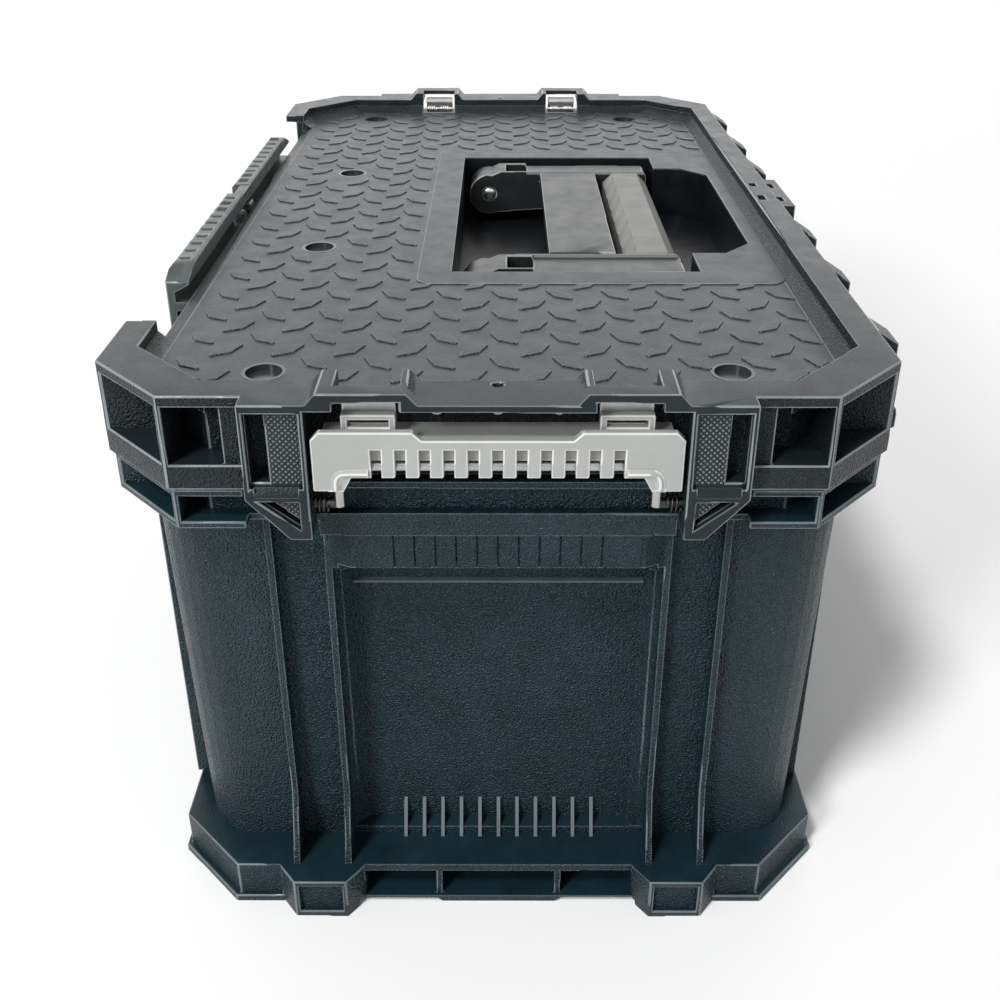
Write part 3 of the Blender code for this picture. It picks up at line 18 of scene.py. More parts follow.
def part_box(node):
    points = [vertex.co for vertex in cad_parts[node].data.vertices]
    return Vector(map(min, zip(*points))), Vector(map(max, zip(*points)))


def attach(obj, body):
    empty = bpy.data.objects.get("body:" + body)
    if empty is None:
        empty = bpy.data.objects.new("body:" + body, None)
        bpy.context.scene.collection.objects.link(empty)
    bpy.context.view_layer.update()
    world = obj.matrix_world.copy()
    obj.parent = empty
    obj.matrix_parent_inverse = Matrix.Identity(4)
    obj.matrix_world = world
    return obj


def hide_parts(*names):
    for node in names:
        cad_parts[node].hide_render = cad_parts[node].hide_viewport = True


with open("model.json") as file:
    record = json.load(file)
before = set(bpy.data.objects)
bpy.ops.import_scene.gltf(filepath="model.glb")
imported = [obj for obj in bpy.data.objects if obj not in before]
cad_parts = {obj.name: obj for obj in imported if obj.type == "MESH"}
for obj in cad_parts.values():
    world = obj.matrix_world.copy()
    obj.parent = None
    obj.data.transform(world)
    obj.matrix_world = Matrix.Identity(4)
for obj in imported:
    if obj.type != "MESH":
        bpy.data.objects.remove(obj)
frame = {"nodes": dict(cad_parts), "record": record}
NODES = frame["nodes"]
BODY_OF = {node: body for body, members in frame["record"]["behaviour"]["bodies"].items() for node in members}
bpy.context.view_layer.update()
DECK_LOW, DECK_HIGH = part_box("lid_deck")

MIDDLE_Y = (DECK_LOW.y + DECK_HIGH.y) / 2
MIDDLE = Vector((0.0, MIDDLE_Y, 0.0))
DECK_X = DECK_HIGH.x
DECK_Y = (DECK_HIGH.y - DECK_LOW.y) / 2
DECK_TOP = DECK_HIGH.z
DECK_CHAMFER = 0.033
SIDES = (-1, 1)
QUARTERS = [(side, sy) for side in SIDES for sy in SIDES]
ENDS = (("right", 1), ("left", -1))
CORNERS = (("front", -1), ("rear", 1))
REACH = 0.02  # how far a cutting shape runs on past what it cuts
SUNK = 0.0006  # how deep an added shape stands in what carries it
SHARP = 28.0  # degrees from which an edge is rounded
SMOOTH = 50.0  # degrees up to which shading runs on over an edge
EDGE_STEP = 0.010  # longest bit of an edge that is rounded or left sharp as a whole
ROUND_TRIES = 8
BAD_REACH = 1.6  # how far round a bad point edges stay sharp, in widths of the rounding
WALL_ROUND, THIN_ROUND, FINE_ROUND = 0.0007, 0.0006, 0.0003
HANDLE_ROUND, EYE_ROUND, SEAL_ROUND = 0.0008, 0.0010, 0.0012


# Finishes

HIGHLIGHT_WIDTH = 0.0008  # how far the painted highlight reaches in from an outward edge
HIGHLIGHT_SAMPLES = 8
HIGHLIGHT_SPAN = (0.55, 0.88)
WEAR_GLOSS = 0.10
MOTTLE_SCALE = 38.0
GLOSS_SCALE = 90.0
GLOSS_RANGE = (-0.05, 0.07)
LEATHER = 1050.0  # scale of the leather grain, per metre
LEATHER_DEPTH = 0.0018
LEATHER_END = (0.2812, 0.2826)  # distance from the middle at which the deep grain gives way
LEATHER_FAINT = 0.12
LEVEL_SPAN = (0.6, 0.95)  # upward share of a face's normal over which the grain fades
LEVEL_FAINT = 0.08
SPOT_SCALE = 140.0
STEEL_TINT, STEEL_GLOSS = (0.86, 1.08), (-0.06, 0.1)
FINE, MATT, SOFT = 900.0, 1300.0, 1700.0  # scales of the even grains


def nodes_of(name):
    made = bpy.data.materials.new(name)
    made.use_nodes = True
    tree = made.node_tree
    return made, tree, tree.nodes["Principled BSDF"]


def put(tree, kind, **values):
    """Adds a node, with values for its sockets or its settings."""
    node = tree.nodes.new(kind)
    for key, value in values.items():
        if key in node.inputs:
            node.inputs[key].default_value = value
        else:
            setattr(node, key, value)
    return node


def noise(tree, scale, detail=2.0, roughness=0.5):
    place = put(tree, "ShaderNodeTexCoord")
    made = put(tree, "ShaderNodeTexNoise", Scale=scale, Detail=detail, Roughness=roughness)
    tree.links.new(place.outputs["Object"], made.inputs["Vector"])
    return made.outputs["Fac"]


def ramp(tree, value, low, high, start=0.3, end=0.7):
    """Colours between low and high as the value goes from start to end."""
    made = put(tree, "ShaderNodeValToRGB")
    for element, position, colour in zip(made.color_ramp.elements, (start, end), (low, high)):
        element.position = position
        element.color = (*colour, 1.0)
    tree.links.new(value, made.inputs["Fac"])
    return made.outputs["Color"]


def span(tree, value, low, high, start=0.3, end=0.7):
    """Numbers between low and high as the value goes from start to end."""
    limits = {"From Min": start, "From Max": end, "To Min": low, "To Max": high}
    made = put(tree, "ShaderNodeMapRange", **limits)
    tree.links.new(value, made.inputs["Value"])
    return made.outputs["Result"]


def maths(tree, operation, *values):
    """A sum on sockets or numbers."""
    made = put(tree, "ShaderNodeMath", operation=operation)
    for socket, value in zip(made.inputs, values):
        if isinstance(value, float):
            socket.default_value = value
        else:
            tree.links.new(value, socket)
    return made.outputs["Value"]


def axis_of(tree, kind, output, axis):
    """One axis of a vector that a node gives."""
    split = put(tree, "ShaderNodeSeparateXYZ")
    tree.links.new(put(tree, kind).outputs[output], split.inputs["Vector"])
    return split.outputs[axis]


def times(colour, factor):
    return tuple(c * factor for c in colour)


def bump(tree, shader, height, strength, distance):
    made = put(tree, "ShaderNodeBump", Strength=strength, Distance=distance)
    tree.links.new(height, made.inputs["Height"])
    tree.links.new(made.outputs["Normal"], shader.inputs["Normal"])
    return made


def edge_highlight_mask(tree):
    """How near a point is to an outward edge of its piece: 0 on flat faces, 1 on the edge; it masks the
    painted edge highlight.
    """
    within = put(tree, "ShaderNodeAmbientOcclusion", samples=HIGHLIGHT_SAMPLES, inside=True, only_local=True,
                 Distance=HIGHLIGHT_WIDTH)
    return span(tree, within.outputs["AO"], 1.0, 0.0, *HIGHLIGHT_SPAN)


def mixed(tree, share, low, high):
    """A colour that goes from a socket's to a fixed one as the share goes from 0 to 1."""
    made = put(tree, "ShaderNodeMix", data_type="RGBA")
    factor, first, second = made.inputs["Factor"], made.inputs[6], made.inputs[7]
    tree.links.new(share, factor)
    tree.links.new(low, first)
    second.default_value = (*high, 1.0)
    return made.outputs[2]


def moulded(name, colour, highlight_colour, roughness, specular, spread):
    """Plastic with faint mottling, uneven gloss and smoother edges painted paler as a highlight, still
    without a grain.
    """
    made, tree, shader = nodes_of(name)
    mottle = noise(tree, MOTTLE_SCALE, 4.0, 0.6)
    tint = ramp(tree, mottle, times(colour, 1 - spread), times(colour, 1 + spread))
    highlight = edge_highlight_mask(tree)
    tree.links.new(mixed(tree, highlight, tint, highlight_colour), shader.inputs["Base Color"])
    smoother, rougher = (roughness + change for change in GLOSS_RANGE)
    gloss = span(tree, noise(tree, GLOSS_SCALE, 3.0), smoother, rougher)
    gloss = maths(tree, "SUBTRACT", gloss, maths(tree, "MULTIPLY", highlight, WEAR_GLOSS))
    tree.links.new(gloss, shader.inputs["Roughness"])
    shader.inputs["Specular IOR Level"].default_value = specular
    return made, tree, shader


def plastic(name, colour, highlight_colour, roughness, grain, depth, specular, spread=0.25):
    """Moulded plastic or rubber with one fine grain all over."""
    made, tree, shader = moulded(name, colour, highlight_colour, roughness, specular, spread)
    bump(tree, shader, noise(tree, grain, 2.5, 0.6), 0.4, depth)
    return made


def edge_finish(name, colour, roughness, grain=FINE, spread=0.25):
    """Smooth plastic in a paler colour, a painted highlight, for rounded edges."""
    return plastic(name, colour, colour, roughness, grain, 0.0001, 0.5, spread)


def grained(name, colour, highlight_colour, roughness, specular, spread=0.25):
    """Moulded plastic with a leather grain, deep on walls set back from the rim and faint elsewhere."""
    made, tree, shader = moulded(name, colour, highlight_colour, roughness, specular, spread)
    away = maths(tree, "ABSOLUTE", axis_of(tree, "ShaderNodeTexCoord", "Object", "X"))
    set_back = span(tree, away, 1.0, LEATHER_FAINT, *LEATHER_END)
    facing = axis_of(tree, "ShaderNodeNewGeometry", "Normal", "Z")
    upright = span(tree, facing, 1.0, LEVEL_FAINT, *LEVEL_SPAN)
    relief = bump(tree, shader, noise(tree, LEATHER, 1.0, 0.5), 1.0, LEATHER_DEPTH)
    tree.links.new(maths(tree, "MULTIPLY", set_back, upright), relief.inputs["Strength"])
    return made


def metal(name, colour, roughness):
    """Plated steel: near-even colour with fine scratches in its gloss."""
    made, tree, shader = nodes_of(name)
    shader.inputs["Metallic"].default_value = 1.0
    spots = noise(tree, SPOT_SCALE, 3.0, 0.6)
    darker, lighter = (times(colour, factor) for factor in STEEL_TINT)
    tree.links.new(ramp(tree, spots, darker, lighter), shader.inputs["Base Color"])
    fine = noise(tree, FINE, 2.0, 0.7)
    smoother, rougher = (roughness + change for change in STEEL_GLOSS)
    tree.links.new(span(tree, fine, smoother, rougher), shader.inputs["Roughness"])
    bump(tree, shader, fine, 0.12, 0.00005)
    return made


# Each _EDGE colour is far paler than its part's own colour: a painted highlight on rounded edges.
BODY, BODY_EDGE = (0.0074, 0.0222, 0.0286), (0.105, 0.135, 0.145)
RIM, RIM_EDGE = (0.0125, 0.0175, 0.0205), (0.170, 0.195, 0.205)
# DECK_WITH_SHEEN is lighter than the black body: painted sheen standing in for part of the deck's reflection.
DECK_WITH_SHEEN, DECK_EDGE = (0.036, 0.043, 0.048), (0.190, 0.210, 0.220)
WELL, WELL_EDGE = (0.005, 0.006, 0.008), (0.03, 0.035, 0.037)
LEVER, LEVER_EDGE = (0.35, 0.36, 0.347), (0.66, 0.67, 0.65)
GRIP, GRIP_EDGE = (0.215, 0.22, 0.205), (0.33, 0.335, 0.32)
SEAL, SEAL_EDGE = (0.012, 0.012, 0.012), (0.02, 0.02, 0.02)
LATCH, LATCH_EDGE = (0.044, 0.056, 0.055), (0.18, 0.205, 0.20)
HANDLE, HANDLE_EDGE = (0.013, 0.016, 0.017), (0.26, 0.27, 0.265)
CUP = (0.030, 0.037, 0.041)
# LIP_HIGHLIGHT is paler than the body: a painted highlight along the lip's edge.
LIP_HIGHLIGHT = (0.060, 0.080, 0.087)
# ROD_SHADED is darker than the bright steel of the pins: painted shade on the rod behind the lever.
BRIGHT, ROD_SHADED, TAB, DARK = (0.75, 0.75, 0.74), (0.42, 0.42, 0.41), (0.46, 0.46, 0.45), (0.06, 0.06, 0.06)

FINISH = {
    # name, colour, edge colour, roughness, specular, spread of the tint
    "black_plastic": grained("body_finish", BODY, BODY_EDGE, 0.28, 0.28),
    "plain_plastic": grained("plain_finish", BODY, BODY, 0.30, 0.26),
    "rim_plastic": grained("rim_finish", RIM, RIM_EDGE, 0.29, 0.19),
    # The deck's lighter colour is painted sheen.
    "deck_plastic": grained("deck_finish", DECK_WITH_SHEEN, DECK_EDGE, 0.36, 0.24, 0.12),
    # name, colour, edge colour, roughness, grain, depth of the grain, specular, spread of the tint
    "well_plastic": plastic("well_finish", WELL, WELL_EDGE, 0.34, FINE, 0.0001, 0.25),
    "grey_plastic": plastic("lever_finish", LEVER, LEVER_EDGE, 0.42, MATT, 0.00015, 0.45, 0.05),
    "grip_rubber": plastic("grip_finish", GRIP, GRIP_EDGE, 0.55, SOFT, 0.00012, 0.35, 0.08),
    "seal_rubber": plastic("seal_finish", SEAL, SEAL_EDGE, 0.75, FINE, 0.0001, 0.3, 0.1),
    "cup_plastic": plastic("cup_finish", CUP, CUP, 0.24, FINE, 0.00005, 0.45),
    "lip_plastic": plastic("lip_finish", LIP_HIGHLIGHT, LIP_HIGHLIGHT, 0.28, FINE, 0.0001, 0.4),
    "latch_plastic": plastic("latch_finish", LATCH, LATCH_EDGE, 0.38, MATT, 0.0002, 0.5),
    "handle_plastic": plastic("handle_finish", HANDLE, HANDLE_EDGE, 0.34, MATT, 0.0002, 0.46, 0.1),
    # Pale fin edges: a painted highlight.
    "fin_plastic": edge_finish("fin_highlight_finish", BODY_EDGE, 0.25),
    "bright_steel": metal("bright_finish", BRIGHT, 0.24),
    "rod_steel": metal("rod_finish", ROD_SHADED, 0.20),
    "tab_steel": metal("tab_finish", TAB, 0.44),
    "dark_steel": metal("dark_finish", DARK, 0.38),
}
# Paler finishes for the rounded faces of edges: a painted highlight.
EDGES = {
    "black_plastic": edge_finish("body_edge", BODY_EDGE, 0.25),
    "rim_plastic": edge_finish("rim_edge", RIM_EDGE, 0.22),
    "deck_plastic": edge_finish("deck_edge", DECK_EDGE, 0.26),
    "grey_plastic": edge_finish("lever_edge", LEVER_EDGE, 0.34, MATT, 0.05),
    "latch_plastic": edge_finish("latch_edge", LATCH_EDGE, 0.3, MATT),
    "handle_plastic": edge_finish("handle_edge", HANDLE_EDGE, 0.26, MATT),
}


# Shapes

def link(name, data):
    made = bpy.data.objects.new(name, data)
    bpy.context.scene.collection.objects.link(made)
    return made


def solid(name, bm, shift=True):
    """Makes an object of a bmesh, shifted if it was drawn about the deck's middle."""
    bmesh.ops.recalc_face_normals(bm, faces=bm.faces)
    mesh = bpy.data.meshes.new(name)
    bm.to_mesh(mesh)
    bm.free()
    if shift:
        mesh.transform(Matrix.Translation(MIDDLE))
    return link(name, mesh)


def final_mesh(holder):
    """A new mesh of an object with its modifiers, or of a curve."""
    return bpy.data.meshes.new_from_object(holder.evaluated_get(bpy.context.evaluated_depsgraph_get()))


def smooth(piece, angle=SMOOTH):
    piece.data.shade_smooth()
    piece.data.set_sharp_from_angle(angle=math.radians(angle))
    return piece


def mirrored(sign, a, b):
    """A range between two distances from the middle, on the side of the sign, low end first."""
    return sorted((sign * a, sign * b))


def flipped(points, first, second=1):
    """An outline on the side, or in the corner, of the signs."""
    return [(first * a, second * b) for a, b in points]


def row(count, pitch):
    """Places at a pitch, evenly about the middle."""
    return [(k - (count - 1) / 2) * pitch for k in range(count)]


def lift(point, axis, height):
    a, b = point
    return {"X": (height, a, b), "Y": (a, height, b), "Z": (a, b, height)}[axis]


def join_loops(bm, loops):
    """Closes a solid over loops of as many points."""
    for start, end in zip(loops, loops[1:]):
        for k in range(len(start)):
            bm.faces.new((start[k - 1], start[k], end[k], end[k - 1]))
    bm.faces.new(loops[0])
    bm.faces.new(loops[-1])


def add_stack(bm, axis, rings):
    """Adds a closed solid through outlines of as many points, each with its height."""
    loops = [[bm.verts.new(lift(point, axis, height)) for point in outline] for outline, height in rings]
    join_loops(bm, loops)


def stack(axis, rings, name="shape"):
    bm = bmesh.new()
    add_stack(bm, axis, rings)
    return solid(name, bm)


def prism(outline, axis, low, high, name="shape"):
    return stack(axis, ((outline, low), (outline, high)), name)


def rectangle(x0, x1, y0, y1):
    return [(x0, y0), (x1, y0), (x1, y1), (x0, y1)]


def box(x0, x1, y0, y1, z0, z1):
    return prism(rectangle(x0, x1, y0, y1), "Z", z0, z1)


def between(start, end, t):
    return start[0] + t * (end[0] - start[0]), start[1] + t * (end[1] - start[1])


def turn(k, steps):
    """The angle of k steps, of which so many make a full turn."""
    return 2 * math.pi * k / steps


def circle(centre, radius, sides):
    return [
        (centre[0] + radius * math.cos(turn(k, sides)), centre[1] + radius * math.sin(turn(k, sides)))
        for k in range(sides)
    ]


def cornered(x0, x1, y0, y1, size, steps=1, cut=False):
    """A rectangle with round corners in steps, one step being a cut corner; or with cut ones in steps."""
    low_left, low_right, high_right, high_left = rectangle(x0 + size, x1 - size, y0 + size, y1 - size)
    outline = []
    for quarter, centre in enumerate((high_right, high_left, low_left, low_right)):
        ring = circle(centre, size, 4 * steps)
        ring.append(ring[0])
        arc = ring[quarter * steps:(quarter + 1) * steps + 1]
        if cut:
            arc = [between(arc[0], arc[-1], step / steps) for step in range(steps + 1)]
        outline += arc
    return outline


def combine(target, operation, others):
    """Joins or cuts with a list of shapes, which are used up."""
    group = bpy.data.collections.new("operands")
    bpy.context.scene.collection.children.link(group)
    for other in others:
        bpy.context.scene.collection.objects.unlink(other)
        group.objects.link(other)
    boolean = target.modifiers.new("boolean", "BOOLEAN")
    boolean.operation = operation
    boolean.solver = "EXACT"
    boolean.operand_type = "COLLECTION"
    boolean.collection = group
    mesh = final_mesh(target)
    target.modifiers.clear()
    target.data = mesh
    for other in others:
        bpy.data.objects.remove(other)
    bpy.data.collections.remove(group)
    return target


def tube(name, points, radius, resolution=4):
    """A round tube along points that already lie in the part's own frame."""
    curve = bpy.data.curves.new(name, "CURVE")
    curve.dimensions = "3D"
    curve.bevel_depth = radius
    curve.bevel_resolution = resolution
    curve.use_fill_caps = True
    spline = curve.splines.new("POLY")
    spline.points.add(len(points) - 1)
    for target, point in zip(spline.points, points):
        target.co = (*point, 1.0)
    holder = link(name + "_path", curve)
    mesh = final_mesh(holder)
    bpy.data.objects.remove(holder)
    return smooth(link(name, mesh))


def bent(corners, radius, steps=8):
    """A polyline with its inner corners rounded."""
    points = [Vector(corners[0])]
    for before, corner, after in zip(corners, corners[1:], corners[2:]):
        corner = Vector(corner)
        into, out = (Vector(before) - corner).normalized(), (Vector(after) - corner).normalized()
        start, end = corner + into * radius, corner + out * radius
        for k in range(steps + 1):
            t = k / steps
            points.append(start * (1 - t) ** 2 + corner * (2 * t * (1 - t)) + end * t ** 2)
    points.append(Vector(corners[-1]))
    return points


def coil(x, z, start, run, radius, turns, steps, side=1):
    """Points of a coil about an axis along Y, that starts on the given side of the axis."""
    ring = circle((0.0, 0.0), radius, steps)
    count = turns * steps
    places = [(*ring[k % steps], run * k / count) for k in range(count + 1)]
    return [(x + side * out, start + along, z + up) for out, up, along in places]


def turned_dome(bm, foot, direction, radius, height, rings=5, sides=28):
    """A low dome on a short rim, turned about a direction."""
    tilt = Vector((0, 0, 1)).rotation_difference(Vector(direction)).to_matrix()
    rim = 0.3 * height
    profile = [(radius, 0.0), (radius, rim)]
    for k in range(1, rings):
        angle = math.pi / 2 * k / rings
        profile.append((radius * math.cos(angle), rim + (height - rim) * math.sin(angle)))
    join_loops(bm, [
        [bm.verts.new(Vector(foot) + tilt @ Vector((x, y, h))) for x, y in circle((0.0, 0.0), r, sides)]
        for r, h in profile
    ])


def copy_of(node, name):
    """A clean copy of a node's mesh, without its stored shading."""
    bm = bmesh.new()
    bm.from_mesh(NODES[node].data)
    bmesh.ops.remove_doubles(bm, verts=bm.verts, dist=1e-6)
    made = solid(name, bm, shift=False)
    for layer in ("custom_normal", "sharp_edge", "sharp_face"):
        if layer in made.data.attributes:
            made.data.attributes.remove(made.data.attributes[layer])
    return made


def is_sharp(edge, angle):
    """Whether an edge points outward and is sharper than an angle in degrees."""
    return edge.is_convex and edge.calc_face_angle(0.0) > math.radians(angle)


def split_sharp(mesh, angle):
    """Cuts long sharp edges into short ones, so that rounding can stop and start along them."""
    bm = bmesh.new()
    bm.from_mesh(mesh)
    groups = {}
    for edge in bm.edges:
        if is_sharp(edge, angle):
            groups.setdefault(int(edge.calc_length() / EDGE_STEP), []).append(edge)
    for cuts, edges in groups.items():
        if cuts:
            bmesh.ops.bisect_edges(bm, edges=edges, cuts=cuts)
    bmesh.ops.triangulate(bm, faces=bm.faces)
    bm.to_mesh(mesh)
    bm.free()


def edge_weights(mesh, angle, seam):
    """1 for the edges that are sharp, outward and not on a seam, and 0 for the others."""
    bm = bmesh.new()
    bm.from_mesh(mesh)
    weights = []
    for edge in bm.edges:
        middle = (edge.verts[0].co + edge.verts[1].co) / 2
        weights.append(1.0 if is_sharp(edge, angle) and not (seam and seam(middle)) else 0.0)
    bm.free()
    return weights


def paint(piece, finish):
    """Gives a piece its finish, and as its second one that of its rounded edges."""
    piece.data.materials.clear()
    piece.data.materials.append(FINISH[finish])
    piece.data.materials.append(EDGES.get(finish, FINISH[finish]))
    return piece


def spoilt(mesh, tree, width):
    """Points of a rounded mesh that left the surface it came from, or whose faces turned away from it."""
    farthest, least_turn = 1.1 * width, 0.15
    bad = []
    for vertex in mesh.vertices:
        found, _, _, distance = tree.find_nearest(vertex.co)
        if distance > farthest:
            bad.append(found)
    for face in mesh.polygons:
        if face.area < width * width:
            continue
        _, normal, _, _ = tree.find_nearest(face.center)
        if normal.dot(face.normal) < least_turn:
            bad += [mesh.vertices[k].co for k in face.vertices]
    return bad


def leave_sharp(mesh, weights, places, bad, reach):
    """Takes the edges at and near bad points out of the rounding."""
    near = set()
    for point in bad:
        near.update(index for _, index, _ in places.find_range(point, reach))
        near.add(places.find(point)[1])
    for edge in mesh.edges:
        if edge.vertices[0] in near or edge.vertices[1] in near:
            weights[edge.index] = 0.0


def round_edges(piece, width, segments=2, angle=SHARP, seam=None):
    """Rounds the sharp outward edges, and leaves those sharp where there is no room for it."""
    mesh = piece.data
    split_sharp(mesh, angle)
    tree = BVHTree.FromPolygons([v.co for v in mesh.vertices], [list(f.vertices) for f in mesh.polygons])
    places = KDTree(len(mesh.vertices))
    for vertex in mesh.vertices:
        places.insert(vertex.co, vertex.index)
    places.balance()
    weights = edge_weights(mesh, angle, seam)
    layer = mesh.attributes.new("bevel_weight_edge", "FLOAT", "EDGE")
    bevel = piece.modifiers.new("round", "BEVEL")
    bevel.width = width
    bevel.segments = segments
    bevel.limit_method = "WEIGHT"
    bevel.use_clamp_overlap = False
    # The rounded faces take the second finish, painted paler as a highlight.
    bevel.material = 1
    for _ in range(ROUND_TRIES):
        layer.data.foreach_set("value", weights)
        mesh.update()
        rounded_mesh = final_mesh(piece)
        bad = spoilt(rounded_mesh, tree, width)
        if not bad:
            break
        leave_sharp(mesh, weights, places, bad, BAD_REACH * width)
    piece.modifiers.clear()
    piece.data = rounded_mesh
    smooth(piece)
    weighted = piece.modifiers.new("flat_faces", "WEIGHTED_NORMAL")
    weighted.keep_sharp = True
    return piece


def dress(piece, body, slot, finish=None, stands_for=()):
    """Gives a piece its finish and hangs it on its body."""
    if FINISH[finish or slot] not in list(piece.data.materials):
        paint(piece, finish or slot)
    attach(piece, body)
    if stands_for:
        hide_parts(*stands_for)
    return piece


def refine(node, slot, width, finish=None, cuts=(), adds=(), segments=2, seam=None):
    """A copy of a node with cuts, additions and round edges, shown instead of it."""
    piece = copy_of(node, node + "_look")
    if adds:
        combine(piece, "UNION", list(adds))
    if cuts:
        combine(piece, "DIFFERENCE", list(cuts))
    paint(piece, finish or slot)
    round_edges(piece, width, segments, seam=seam)
    return dress(piece, BODY_OF[node], slot, finish, (node,))


# Base: the ledge under each lever

FLANGE_FOOT = 0.214
LEDGE_X, LEDGE_Z = 0.2700, 0.195  # a point on the ledge's drafted face
LEDGE_LEAN = 0.0025 / 0.026
LEDGE_LOW = 0.1935
LEDGE_SUNK = 0.0014
LEDGE_CLEAR = 0.2760
LEDGE_HALF = 0.0635
LEDGE_SHARP = 0.0640
LEDGE_END = 0.0595
LEDGE_GROOVES = 11
LEDGE_PITCH = 0.00865
RIB_FACE = 0.2586
FILL_X, FILL_Y, FILL_Z = (0.2500, 0.2690), (0.0540, 0.0712), (0.1990, 0.2225)
SLANT_X, SLANT_LOW = 0.2745, 0.1880
SLANT_START, SLANT_END, SLANT_CLEAR = 0.0570, 0.0714, 0.0760
TILE_LOW = 0.1968
TILE_THICK = 0.0008
TILE_GAP = 0.0008


def ledge_face(z):
    """Where the drafted face of the ledge stands at a height."""
    return LEDGE_X + LEDGE_LEAN * (z - LEDGE_Z)


def ledge_shapes():
    """Fillers behind the ledge's ends, then cuts: its slanted ends and its sunk face."""
    slant = [(SLANT_X, SLANT_START), (SLANT_X, SLANT_CLEAR), (RIB_FACE, SLANT_CLEAR), (RIB_FACE, SLANT_END)]
    sunk = [(ledge_face(FLANGE_FOOT) - LEDGE_SUNK, FLANGE_FOOT), (LEDGE_CLEAR, FLANGE_FOOT),
            (LEDGE_CLEAR, LEDGE_LOW), (ledge_face(LEDGE_LOW) - LEDGE_SUNK, LEDGE_LOW)]
    adds, cuts = [], []
    for side in SIDES:
        for sy in SIDES:
            adds.append(box(*mirrored(side, *FILL_X), *mirrored(sy, *FILL_Y), *FILL_Z))
            cuts.append(prism(flipped(slant, side, sy), "Z", SLANT_LOW, FLANGE_FOOT))
        cuts.append(prism(flipped(sunk, side), "Y", -LEDGE_HALF, LEDGE_HALF))
    return adds, cuts


def end_strips(name, profile, runs, finish):
    """Strips along Y on both ends of the base, with one profile."""
    bm = bmesh.new()
    for side in SIDES:
        outline = flipped(profile, side)
        for start, end in runs:
            add_stack(bm, "Y", ((outline, start), (outline, end)))
    dress(solid(name, bm), "base", "black_plastic", finish)


def ledge_tiles():
    """Flat tiles in the ledge's sunk face; the gaps between them are its grooves."""
    grooves = row(LEDGE_GROOVES, LEDGE_PITCH)
    starts = [-LEDGE_END] + [y + TILE_GAP / 2 for y in grooves]
    ends = [y - TILE_GAP / 2 for y in grooves] + [LEDGE_END]
    back, front = LEDGE_SUNK + SUNK, LEDGE_SUNK - TILE_THICK
    corners = ((TILE_LOW, back), (TILE_LOW, front), (FLANGE_FOOT, front), (FLANGE_FOOT, back))
    tile = [(ledge_face(z) - depth, z) for z, depth in corners]
    end_strips("ledge_tiles", tile, list(zip(starts, ends)), "plain_plastic")


def on_ledge(point):
    """Whether a point lies on the sunk face of a ledge, whose edges stay sharp."""
    level = TILE_LOW < point.z < FLANGE_FOOT + SUNK
    return level and abs(point.x) > RIB_FACE and abs(point.y - MIDDLE_Y) < LEDGE_SHARP


# Base: feet, end panels and skirt

FOOT_Y = 0.0855
FOOT_HALF = 0.0104
FOOT_FACE = 0.2805
FOOT_PLATE = 0.2780
FOOT_FILL = 0.0100
FOOT_Z = (0.0034, 0.0198)
PANEL_FACE = 0.2430
PANEL_HALF = 0.0650
PANEL_RANGE = (0.0275, 0.1840)
WALL_FOOT, WALL_LEAN = 0.2490, 0.0207
RIB_SIDE = 0.0721
SLOPE_OVER, SLOPE_UNDER = 0.0003, 0.0001
SLOPE_CLEAR = (0.0050, 0.0010)
SKIRT_X = (0.2480, 0.2740)
SKIRT_EDGE = ((0.0258, -0.0010), (0.0300, 0.0026), (0.0672, 0.0026), (0.0672, -0.0010))
FINS = 11
FIN_PITCH = 0.00926
FIN_HALF = 0.00085
FIN_FOOT, FIN_TOP = (0.2520, 0.0230), (0.2430, 0.0405)
FIN_PROUD = 0.0002
FIN_FOOT_THICK, FIN_TOP_THICK = 0.0008, 0.0003
LIP_PROFILE = ((0.2426, 0.1736), (0.2445, 0.1724), (0.2445, 0.1714), (0.2426, 0.1706))
LIP_HALF = 0.0652


def foot_shapes():
    """Back plates for the pockets in the feet, then wider mouths in front of these."""
    adds, cuts = [], []
    for side, sy in QUARTERS:
        y = (sy * FOOT_Y - FOOT_HALF, sy * FOOT_Y + FOOT_HALF)
        adds.append(box(*mirrored(side, FOOT_PLATE - FOOT_FILL, FOOT_PLATE + SUNK), *y, *FOOT_Z))
        cuts.append(box(*mirrored(side, FOOT_PLATE, FOOT_FACE + REACH), *y, *FOOT_Z))
    return adds, cuts


def slope_outline(z):
    """What is cut away beside an end panel at a height."""
    wall = WALL_FOOT + WALL_LEAN * z
    return [(wall + SLOPE_OVER, RIB_SIDE), (PANEL_FACE - SLOPE_UNDER, PANEL_HALF),
            (wall + SLOPE_CLEAR[0], PANEL_HALF - SLOPE_CLEAR[1])]


def panel_cuts():
    """Slants the sides of the end panels, from the ribs down to the panel's face."""
    return [
        stack("Z", [(flipped(slope_outline(z), side, sy), z) for z in PANEL_RANGE]) for side, sy in QUARTERS
    ]


def skirt_cuts():
    """Raises the skirt's lower edge between its middle and the feet."""
    return [prism(flipped(SKIRT_EDGE, sy), "X", *mirrored(side, *SKIRT_X)) for side, sy in QUARTERS]


def fin_edges():
    """Front edges of the fins at the foot of the end panels, painted pale as a highlight."""
    (foot_x, foot_z), (top_x, top_z) = FIN_FOOT, FIN_TOP
    strip = [(foot_x + FIN_PROUD, foot_z), (top_x + FIN_PROUD, top_z),
             (top_x - FIN_TOP_THICK, top_z), (foot_x - FIN_FOOT_THICK, foot_z)]
    runs = [(y - FIN_HALF, y + FIN_HALF) for y in row(FINS, FIN_PITCH)]
    end_strips("panel_fin_highlights", strip, runs, "fin_plastic")


